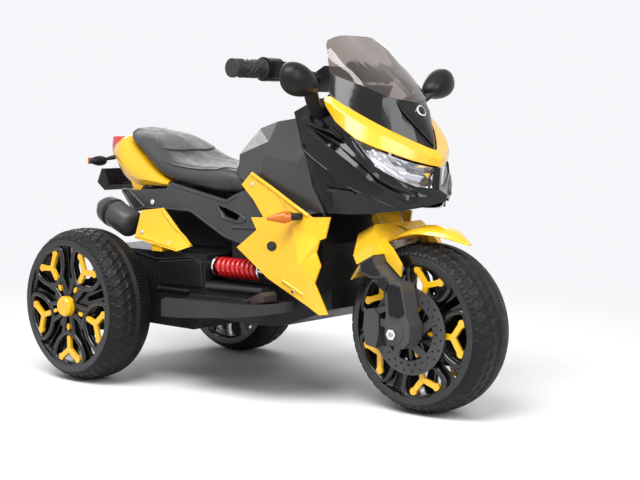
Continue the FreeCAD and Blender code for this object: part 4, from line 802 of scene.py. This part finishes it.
panel("seat_bolster", SEAT, BOLSTER, "seat_grey", DOWN, edge=0.003, even=20)
panel("tail_flange", ["tail_cowl"], TAIL_FLANGE, "yellow")

# Frame rails beside the seat: x and height on the rail's outer face, half-width, depth, closed or open
RAIL_Y = -108
RAIL_LINES = (
    ("frame_end_rim", [(-378, 235), (-354, 235), (-302, 199), (-338, 191)], 3.0, 4.0, True),
    ("frame_window_rim", [(-80, 216), (-46, 210), (-10, 197), (4, 187), (-20, 182), (-62, 188)],
     2.5, 3.0, True),
    ("frame_bead", [(-210, 249), (-150, 238), (-56, 221), (-26, 232)], 2.0, 2.0, False),
    ("frame_fold", [(-36, 172), (36, 173)], 4.0, 2.5, False),
    ("frame_low_bead", [(-296, 199), (-162, 200), (-58, 151), (0, 139)], 2.5, 2.0, False))
# The rail beads take the rail's lighter tank grey too, with the same painted sheen
for name, line, wide, deep, closed in RAIL_LINES:
    ridge(name, ["seat_frame"], [(x, RAIL_Y, h) for x, h in line], SLOT_OF["seat_frame"], wide, deep,
          closed, aim=SIDEWAYS)

# Rear panels and side fairings
REAR_PANEL = ["rear_panel_right"]
panel("rear_flange", REAR_PANEL, [(-276, -157, 146, 1.5), (-244, -152, 146, 2), (-200, -152, 139, 2),
                                  (-163, -153, 131, 2), (-148, -158, 121, 2), (-179, -159, 127, 2),
                                  (-229, -159, 135, 2), (-276, -160, 140, 2)], "yellow", edge=0.0008)
ridge("rear_panel_rim", REAR_PANEL, [(-222, -130, 201), (-206, -131, 184), (-181, -131, 163),
                                     (-150, -134, 146), (-126, -140, 131)], "yellow", 3.0, 4.0)
FLANK = ["side_fairing_right"]
ridge("flank_top_rim", FLANK, [(37, -126, 282), (104, -135, 254), (171, -146, 225), (200, -141, 208)],
      "yellow", 4.0, 4.0)
panel("flank_fold", FLANK, [(108, -137, 249, 0.5), (140, -143, 235, 3.5), (168, -147, 214, 4),
                            (150, -146, 213, 0.5)], "yellow")
ridge("flank_crease", FLANK, [(150, -160, 84), (176, -158, 72), (198, -155, 60)], "yellow", 3.5, 2.0)

# Plain round plates on the fairings and the nose
FLANK_PLATE = (119, -155, 147)
NOSE = ["upper_cowl", "windshield"]
NOSE_PLATE = (352, 0, 402)
disc("flank_roundel", FLANK, FLANK_PLATE, 9.0, "gloss_black")
disc("flank_roundel_face", FLANK, FLANK_PLATE, 6.5, "board_grey", lift=3.2)
disc("nose_roundel", NOSE, NOSE_PLATE, 11.0, "chrome", 5.5, FORWARD, both=False)
disc("nose_roundel_face", NOSE, NOSE_PLATE, 8.0, "gloss_black", 6.4, FORWARD, both=False)

# Housing and pan beside the footboards
HOUSING = ["rear_housing", "chassis_pan"]
WALL_Y = -148
BOX_LIFT = 4


def on_wall(*line):
    """Line on the side wall from x and height."""
    return [(x, WALL_Y, h) for x, h in line]


BOX = on_wall((-214, 94), (-104, 107), (-84, 97), (-79, 48), (-210, 46))
panel("housing_box", HOUSING, [(*p, BOX_LIFT) for p in BOX], "body_black", SIDEWAYS, edge=0.003)
ridge("housing_rim", HOUSING, on_wall((-296, 111), (-216, 97), (-104, 110), (-80, 98)), "body_black",
      2.5, 4.0, corner=20.0, aim=SIDEWAYS)
ridge("housing_shelf", HOUSING, on_wall((-216, 38), (-120, 38)), "body_black", 4.0, 6.0, aim=SIDEWAYS)
ridge("pan_kerb", ["chassis_pan"], on_wall((-70, 52), (88, 56)), "board_grey", 6.5, 6.0, aim=SIDEWAYS)


# Fork: raised faces on the outer side of each leg, given forward of and up along the steering axis
STEER_SLOPE = (0.45399, 0.891007)
LEG_FACE = -104
LEG_STEP = 0.004


def on_leg(e, s, lift):
    """Place on the leg's outer face from distances across and along the steering axis, in mm."""
    back, up = STEER_SLOPE
    return FRONT_AXLE[0] / MM + up * e - back * s, LEG_FACE, back * e + up * s, lift


LEG_UPPER = ((-14, 143, 1), (16, 143, 1), (14, 128, 3), (19, 108, 3), (2, 114, 3), (-19, 131, 2))
LEG_KNEE = ((-1, 107, 1), (22, 99, 1), (32, 88, 3), (22, 78, 5), (16, 76, 5))
LEG_LOWER = ((24, 76, 5), (34, 84, 3), (51, 72, 2), (38, 24, 4), (24, 22, 5), (6, 34, 4))
for name, outline, slot in (("leg_upper_face", LEG_UPPER, "gloss_black"),
                            ("leg_knee_face", LEG_KNEE, "gloss_black"),
                            ("leg_lower_face", LEG_LOWER, "bar_black")):
    panel(name, ["fork_legs"], [on_leg(*p) for p in outline], slot, SIDEWAYS, LEG_STEP)


# Grips: winding ribs along the sleeves
BAR_AT = Vector((0.092, 0.0, 0.643))
GRIP_R = 0.016
GRIP_IN, GRIP_OUT = 0.158, 0.226
GRIP_RIBS = 8
GRIP_RIB_R = 0.0019
GRIP_SWAY = 0.9
GRIP_STEPS = 24
GRIP_TILT = 0.2
GRIP_RIB_SIDES = 8


def grip_ribs():
    bm = bmesh.new()
    for rib in range(GRIP_RIBS):
        start = 2 * math.pi * rib / GRIP_RIBS
        line = []
        for k in range(GRIP_STEPS + 1):
            t = k / GRIP_STEPS
            a = start + GRIP_SWAY * math.sin(2 * math.pi * t)
            out = Vector((math.cos(a), 0, math.sin(a)))
            line.append(BAR_AT + out * GRIP_R - Vector((0, GRIP_IN + (GRIP_OUT - GRIP_IN) * t, 0)))
        axis = Vector((math.cos(start), GRIP_TILT, math.sin(start))).normalized()
        tube_into(bm, line, GRIP_RIB_R, GRIP_RIB_R, axis, False, GRIP_RIB_SIDES)
    mirrored(bm)
    piece("grip_ribs", finished("grip_ribs", bm), BODY_OF["grips"], SLOT_OF["grips"])


grip_ribs()


# Mufflers: rounded grey sleeves with a dark band and a bored tail pipe
MUFFLER_LOW, MUFFLER_HIGH = at(-306, -139.5, 163), at(-392, -139.5, 195)
MUFFLER_R = 30.0
MUFFLER_SIDES = 56
PIPE_R, PIPE_BORE = 15, 12
BAND_FROM, BAND_TO = 30, 18
TURNED_ANGLE = 50


def mufflers():
    way = MUFFLER_HIGH - MUFFLER_LOW
    reach = way.length / MM
    way.normalize()
    sleeve = [(0, PIPE_BORE), (0.5, MUFFLER_R - 6), (3, MUFFLER_R - 2.5), (8, MUFFLER_R),
              (reach - 8, MUFFLER_R), (reach - 2, MUFFLER_R - 1), (reach + 4, MUFFLER_R - 4),
              (reach + 8, MUFFLER_R - 9), (reach + 9.5, MUFFLER_R - 14), (reach + 17, PIPE_R),
              (reach + 18, PIPE_R - 0.6), (reach + 18, PIPE_BORE + 0.3), (reach + 11, PIPE_BORE)]
    start, end = reach - BAND_FROM, reach - BAND_TO
    band = [(start, MUFFLER_R - 1), (start, MUFFLER_R + 1), (start + 0.8, MUFFLER_R + 1.6),
            (end - 0.8, MUFFLER_R + 1.6), (end, MUFFLER_R + 1), (end, MUFFLER_R - 1)]
    for name, profile, slot, *replaced in (("muffler_sleeves", sleeve, "disc_grey", "mufflers"),
                                           ("muffler_bands", band, "body_black")):
        bm = bmesh.new()
        lathe_into(bm, MUFFLER_LOW, way, profile, MUFFLER_SIDES)
        mirrored(bm)
        piece(name, finished(name, bm, TURNED_ANGLE), "body", slot, *replaced)


mufflers()


# Mirrors: drop-shaped shells that lean towards their stalks, as steps of distance ahead and size
MIRROR_AT = (237, -208, 457)
MIRROR_LEAN = math.radians(-20)
MIRROR_HALF_W, MIRROR_HALF_H = 45, 29
MIRROR_TAPER = 0.26
MIRROR_SIDES = 56
SHELL_STEPS = ((-8, 0.95), (-6, 0.985), (0, 1.0), (8, 0.96), (15, 0.87), (21, 0.72), (25, 0.53),
               (28, 0.28), (29, 0.06))
GLASS_STEPS = ((-10, 0.86), (-9.6, 0.88), (-7.5, 0.88))
STALK = [(211, -126, 397), (213, -134, 402), (222, -152, 417), (234, -172, 435), (242, -186, 448)]
STALK_BEND = 0.012
STALK_WIDE, STALK_DEEP = 0.0085, 0.0165
STALK_AXIS = Vector((0.83, 0.35, -0.43)).normalized()
STALK_SIDES = 20


def mirror_ring(bm, ahead, size):
    """Ring round the mirror, narrow at the end by the stalk, at a distance ahead of its middle."""
    x, y, h = MIRROR_AT
    cos, sin = math.cos(MIRROR_LEAN), math.sin(MIRROR_LEAN)
    ring = []
    for k in range(MIRROR_SIDES):
        a = 2 * math.pi * k / MIRROR_SIDES
        u = MIRROR_HALF_W * size * math.cos(a)
        v = MIRROR_HALF_H * size * math.sin(a) * (1 - MIRROR_TAPER * math.cos(a))
        ring.append(bm.verts.new(at(x + ahead, y + u * cos - v * sin, h + u * sin + v * cos)))
    return ring


def mirrors():
    bm = bmesh.new()
    bridged(bm, [mirror_ring(bm, ahead, size) for ahead, size in SHELL_STEPS])
    stalk = rounded([at(*p) for p in STALK], STALK_BEND, False)
    tube_into(bm, stalk, STALK_WIDE, STALK_DEEP, STALK_AXIS, False, STALK_SIDES)
    mirrored(bm)
    piece("mirror_shells", finished("mirror_shells", bm, TURNED_ANGLE), "body", "body_black", "mirrors")
    bm = bmesh.new()
    bridged(bm, [mirror_ring(bm, ahead, size) for ahead, size in GLASS_STEPS])
    mirrored(bm)
    piece("mirror_faces", finished("mirror_faces", bm, TURNED_ANGLE), "body", "mirror_glass",
          "mirror_glasses")


mirrors()


# Rear indicators: egg-shaped pods over the ends of their stems
POD_AT = Vector((-0.462, -0.107, 0.456))
POD_IN = 0.023
POD_SHAPE = [(0, 3.5), (2, 6.5), (7, 9.6), (15, 11.4), (24, 11.2), (33, 9.0), (40, 6.0), (44, 3.2),
             (45.5, 1.0)]
POD_SIDES = 32
SQUARE_POD_X, SQUARE_POD_Y = -0.4535, 0.0855
SQUARE_POD_SHRINK = 0.3


def small_pods(p):
    """Move that shrinks the square pods so that the eggs hide them."""
    middle = Vector((POD_AT.x, math.copysign(POD_AT.y, p.y), POD_AT.z))
    if p.x < SQUARE_POD_X and abs(p.y) > SQUARE_POD_Y:
        return middle + (p - middle) * SQUARE_POD_SHRINK
    return p


def rear_pods():
    bm = bmesh.new()
    lathe_into(bm, POD_AT + SIDEWAYS * POD_IN, -SIDEWAYS, POD_SHAPE, POD_SIDES)
    mirrored(bm)
    piece("rear_pods", finished("rear_pods", bm, TURNED_ANGLE), "body", SLOT_OF["indicator_bodies"])
    skin("indicator_bodies", bend=small_pods)


rear_pods()


# Liner between the seat rails, and the lug of the tail shell: outlines in x and height
LINER = [(-345, 238), (-300, 196), (-240, 122), (-64, 122), (-46, 170), (-64, 234), (-190, 258),
         (-268, 264)]
LUG = [(-372, 262), (-318, 252), (-344, 224), (-352, 224)]
LINER_PLANES, LUG_PLANES = (-66, -62), (-93, -87)
PLATE_ANGLE = 30


def plates(name, outline, planes, slot, edge):
    """Flat plate between two planes, on both sides of the body: sizes in mm, edge in metres."""
    bm = bmesh.new()
    bridged(bm, [[bm.verts.new(at(x, y, h)) for x, h in outline] for y in planes])
    mirrored(bm)
    bevel(piece(name, finished(name, bm, PLATE_ANGLE), "body", slot), edge)


plates("tail_liner", LINER, LINER_PLANES, "body_black", 0.001)
plates("tail_lug", LUG, LUG_PLANES, "yellow", 0.0015)


# Carried-over shapes, some with rounder edges than the rest
ROUNDING = {"brake_discs": 0.0005, "fork_legs": 0.0022, "chassis_pan": 0.004, "rear_housing": 0.005,
            "body_core": 0.004, "footboards": 0.003, "seat_frame": 0.002, "front_axle_nut": 0.0006}
DONE = {n for o in bpy.data.objects for n in o.get("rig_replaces", [])}
for name in NODES:
    if name not in DONE:
        skin(name, ROUNDING.get(name, SOFT_EDGE))


# Floor, light and camera
FLOOR_HALF = 3.0
FADE_FROM, FADE_TO = 0.7, 1.9
LIGHT_LEVEL, BACKDROP_LEVEL = 0.32, 0.95
BACKDROP_TINT = (0.97, 0.97, 1.0, 1.0)
# Lamps: name, place, aim, size and power
LAMPS = (("key", (0.4, -1.6, 2.6), (0.0, 0.0, 0.3), (2.4, 1.2), 95.0),
         ("front", (2.6, -0.6, 1.6), (0.1, 0.0, 0.3), (1.2, 1.6), 36.0),
         ("rim", (-2.0, 1.8, 1.8), (0.0, 0.0, 0.35), (2.4, 1.4), 34.0))
CAMERA_TARGET = Vector((0.1035, 0.0, 0.307))
CAMERA_AZIMUTH, CAMERA_ELEVATION = math.radians(41.67), math.radians(5.43)
CAMERA_AWAY = 2.572
CAMERA_SENSOR, CAMERA_LENS = 36.0, 72.16


def floor():
    """Pale paper that fades out with distance, so the backdrop shows behind it."""
    mesh = bpy.data.meshes.new("floor")
    corners = [(x * FLOOR_HALF, y * FLOOR_HALF, 0) for x, y in ((-1, -1), (1, -1), (1, 1), (-1, 1))]
    mesh.from_pydata(corners, [], [(0, 1, 2, 3)])
    obj = bpy.data.objects.new("floor", mesh)
    bpy.context.scene.collection.objects.link(obj)
    n = Nodes("floor_paper")
    n.link(n.tone((0.90, 0.90, 0.91), (0.93, 0.93, 0.94), scale=3.0), n.shader.inputs["Base Color"])
    n.set(Roughness=0.9)
    away = n.add("ShaderNodeVectorMath", operation="LENGTH")
    n.link(n.place, away.inputs[0])
    n.link(n.spread(away.outputs["Value"], 1.0, 0.0, FADE_FROM, FADE_TO), n.shader.inputs["Alpha"])
    mesh.materials.append(n.material)


def world():
    """Soft grey light, with a near-white backdrop for what is seen directly, in gloss and through glass."""
    made = bpy.data.worlds.new("studio")
    made.use_nodes = True
    tree = made.node_tree
    back = tree.nodes["Background"]
    path = tree.nodes.new("ShaderNodeLightPath")
    seen = path.outputs["Is Camera Ray"]
    for ray in ("Is Transmission Ray", "Is Glossy Ray"):
        either = tree.nodes.new("ShaderNodeMath")
        either.operation = "MAXIMUM"
        tree.links.new(seen, either.inputs[0])
        tree.links.new(path.outputs[ray], either.inputs[1])
        seen = either.outputs[0]
    level = tree.nodes.new("ShaderNodeMapRange")
    level.inputs["To Min"].default_value = LIGHT_LEVEL
    level.inputs["To Max"].default_value = BACKDROP_LEVEL
    tree.links.new(seen, level.inputs["Value"])
    back.inputs["Color"].default_value = BACKDROP_TINT
    tree.links.new(level.outputs["Result"], back.inputs["Strength"])
    bpy.context.scene.world = made


def lamp(name, place, aim, size, power):
    """Soft rectangular lamp that points at a place."""
    data = bpy.data.lights.new(name, "AREA")
    data.shape = "RECTANGLE"
    data.size, data.size_y = size
    data.energy = power
    obj = bpy.data.objects.new(name, data)
    obj.location = place
    obj.rotation_euler = (Vector(aim) - Vector(place)).to_track_quat("-Z", "Y").to_euler()
    bpy.context.scene.collection.objects.link(obj)


def camera():
    """Camera low at the front right of the bike."""
    level = math.cos(CAMERA_ELEVATION)
    back = Vector((math.sin(CAMERA_AZIMUTH) * level, -math.cos(CAMERA_AZIMUTH) * level,
                   math.sin(CAMERA_ELEVATION)))
    data = bpy.data.cameras.new("camera")
    data.sensor_fit = "HORIZONTAL"
    data.sensor_width = CAMERA_SENSOR
    data.lens = CAMERA_LENS
    obj = bpy.data.objects.new("camera", data)
    obj.location = CAMERA_TARGET + back * CAMERA_AWAY
    obj.rotation_euler = (-back).to_track_quat("-Z", "Y").to_euler()
    bpy.context.scene.collection.objects.link(obj)
    bpy.context.scene.camera = obj


floor()
world()
for lamp_values in LAMPS:
    lamp(*lamp_values)
camera()
bpy.context.scene.view_settings.view_transform = "Standard"
